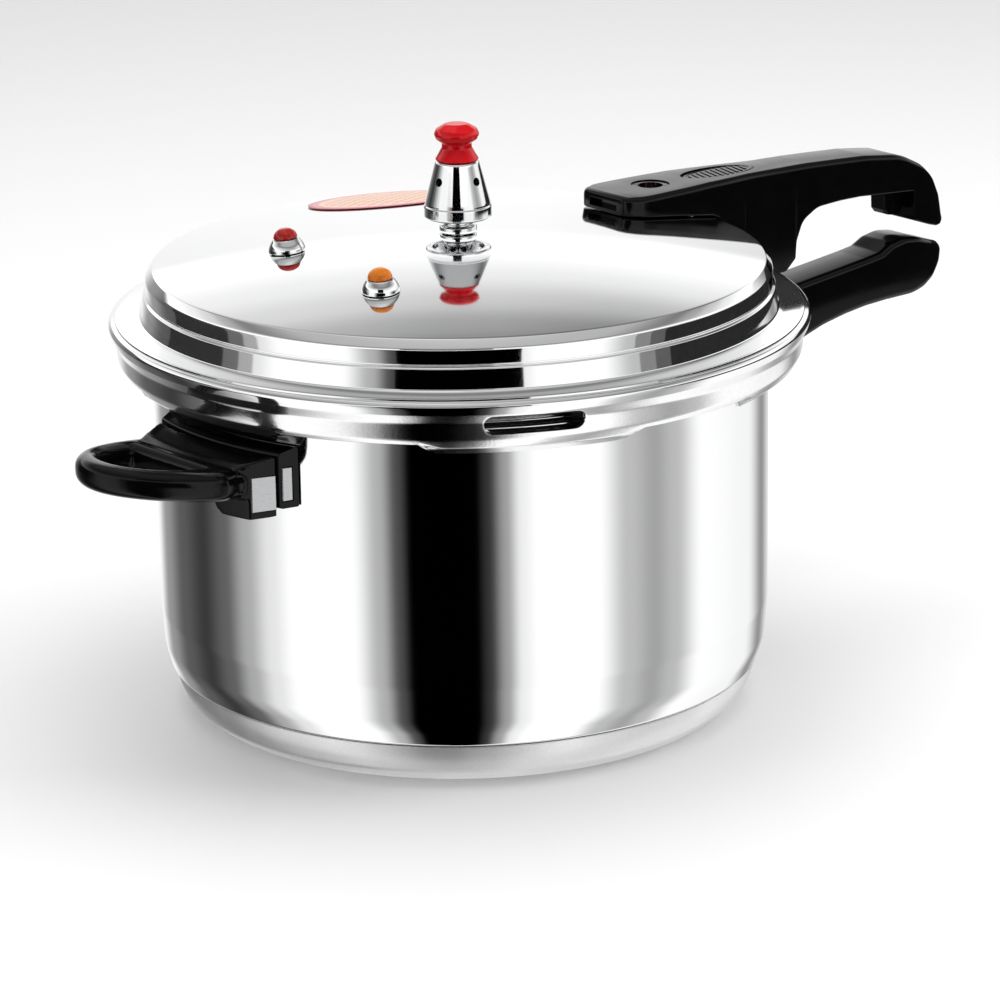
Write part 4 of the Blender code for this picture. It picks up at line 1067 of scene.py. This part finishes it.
def make_world():
    """Soft white room with a dark gap on the camera's side, seen in the mirror finish."""
    world = bpy.data.worlds.new("studio")
    bpy.context.scene.world = world
    world.use_nodes = True
    tree = world.node_tree
    tree.nodes.clear()

    def math(operation, first, second=0.0):
        made = tree.nodes.new("ShaderNodeMath")
        made.operation = operation
        for index, value in enumerate((first, second)):
            if isinstance(value, float):
                made.inputs[index].default_value = value
            else:
                tree.links.new(value, made.inputs[index])
        return made.outputs[0]

    def mix(factor, first, second, blend="MIX"):
        made = tree.nodes.new("ShaderNodeMix")
        made.data_type = "RGBA"
        made.blend_type = blend
        for socket, value in (("Factor", factor), ("A", first), ("B", second)):
            tree.links.new(value, made.inputs[socket])
        return made.outputs["Result"]

    turned = tree.nodes.new("ShaderNodeVectorRotate")
    turned.rotation_type = "Z_AXIS"
    turned.inputs["Angle"].default_value = -radians(CAMERA_HEADING + 180.0)
    tree.links.new(tree.nodes.new("ShaderNodeTexCoord").outputs["Generated"], turned.inputs["Vector"])
    split = tree.nodes.new("ShaderNodeSeparateXYZ")
    tree.links.new(turned.outputs["Vector"], split.inputs[0])
    x, y, z = split.outputs
    azimuth = math("ADD", math("DIVIDE", math("ARCTAN2", y, x), 2 * pi), 0.5)
    elevation = math("ADD", math("DIVIDE", math("ARCSINE", z), pi), 0.5)
    sky = mix(ramp(tree, elevation, HIGH_UP), ramp(tree, elevation, SKY), ramp(tree, azimuth, SIDES), "MULTIPLY")
    room = tree.nodes.new("ShaderNodeBackground")
    tree.links.new(mix(ramp(tree, elevation, UPWARD), ramp(tree, azimuth, BANDS), sky), room.inputs["Color"])
    plain = tree.nodes.new("ShaderNodeBackground")
    plain.inputs["Color"].default_value = (1.0, 1.0, 1.0, 1.0)
    chooser = tree.nodes.new("ShaderNodeMixShader")
    tree.links.new(tree.nodes.new("ShaderNodeLightPath").outputs["Is Camera Ray"], chooser.inputs["Fac"])
    tree.links.new(room.outputs[0], chooser.inputs[1])
    tree.links.new(plain.outputs[0], chooser.inputs[2])
    output = tree.nodes.new("ShaderNodeOutputWorld")
    tree.links.new(chooser.outputs[0], output.inputs["Surface"])


def make_lights():
    """Two soft lamps that shape the shadows and stay out of the mirror finish."""
    target = Vector((0.0, 0.0, 0.1))
    for name, location, size, power in (("overhead", (0.1, 0.1, 1.5), 1.6, 16.0),
                                        ("side", (1.1, -0.9, 1.0), 0.9, 7.0)):
        data = bpy.data.lights.new(name, "AREA")
        data.shape = "SQUARE"
        data.size = size
        data.energy = power
        light = bpy.data.objects.new(name, data)
        bpy.context.scene.collection.objects.link(light)
        light.location = location
        light.rotation_euler = (target - light.location).to_track_quat("-Z", "Y").to_euler()
        light.visible_camera = False
        light.visible_glossy = False


FLOOR_HALF = 6.0
FLOOR_GAP = 0.0002
CARD_COLUMNS = 24
SIDE_CARD = (0.50, 0.030, 0.22)
# Dark cards round the pot, seen only as reflections in the lid's rim and the weight:
# start and end angle from the camera's side, radius, lowest and highest point in metres, brightness.
CARDS = {"front_card": (-19.5, 19.5, 0.52, 0.026, 0.25, 0.0),
         "weight_card": (-19.0, 11.0, 0.52, 0.31, 0.42, 0.0),
         "right_edge": (58.0, 64.0, *SIDE_CARD, 0.26),
         "right_soft": (64.0, 70.0, *SIDE_CARD, 0.12),
         "right_card": (70.0, 150.0, *SIDE_CARD, 0.025),
         "left_edge": (-74.0, -68.0, *SIDE_CARD, 0.38),
         "left_soft": (-81.0, -74.0, *SIDE_CARD, 0.14),
         "left_card": (-112.0, -81.0, *SIDE_CARD, 0.03)}


def make_cards():
    for name, (start, end, radius, low, high, brightness) in CARDS.items():
        shape = bmesh.new()
        columns = []
        for step in range(CARD_COLUMNS + 1):
            angle = radians(CAMERA_HEADING + 180.0 + start + (end - start) * step / CARD_COLUMNS)
            x, y = radius * cos(angle), radius * sin(angle)
            columns.append((shape.verts.new((x, y, low)), shape.verts.new((x, y, high))))
        for first, second in zip(columns, columns[1:]):
            shape.faces.new((first[0], second[0], second[1], first[1]))
        card = stand(name, shape)
        card.data.materials.append(Shader(name, (brightness,) * 3, 0.0, 1.0, Specular_IOR_Level=0.0).material)
        card.visible_camera = False
        card.visible_diffuse = False
        card.visible_shadow = False
        card.visible_transmission = False


def make_floor():
    shape = bmesh.new()
    bmesh.ops.create_grid(shape, x_segments=8, y_segments=8, size=FLOOR_HALF)
    floor = stand("floor", shape)
    floor.location.z = BASE_LOW.z * MM - FLOOR_GAP
    floor.data.materials.append(Shader("floor", (0.93, 0.93, 0.93), 0.0, 0.7).material)
    floor.visible_glossy = False


make_camera()
finish_cad()
make_lid()
make_label()
make_pot()
make_base()
make_gasket()
make_weight()
make_vent_pipe()
make_valve("red", RED_CLEAR)
make_valve("amber", AMBER)
make_lid_handle()
make_pot_handle()
make_side_handle()
make_world()
make_lights()
make_cards()
make_floor()
bpy.context.scene.view_settings.view_transform = "Standard"
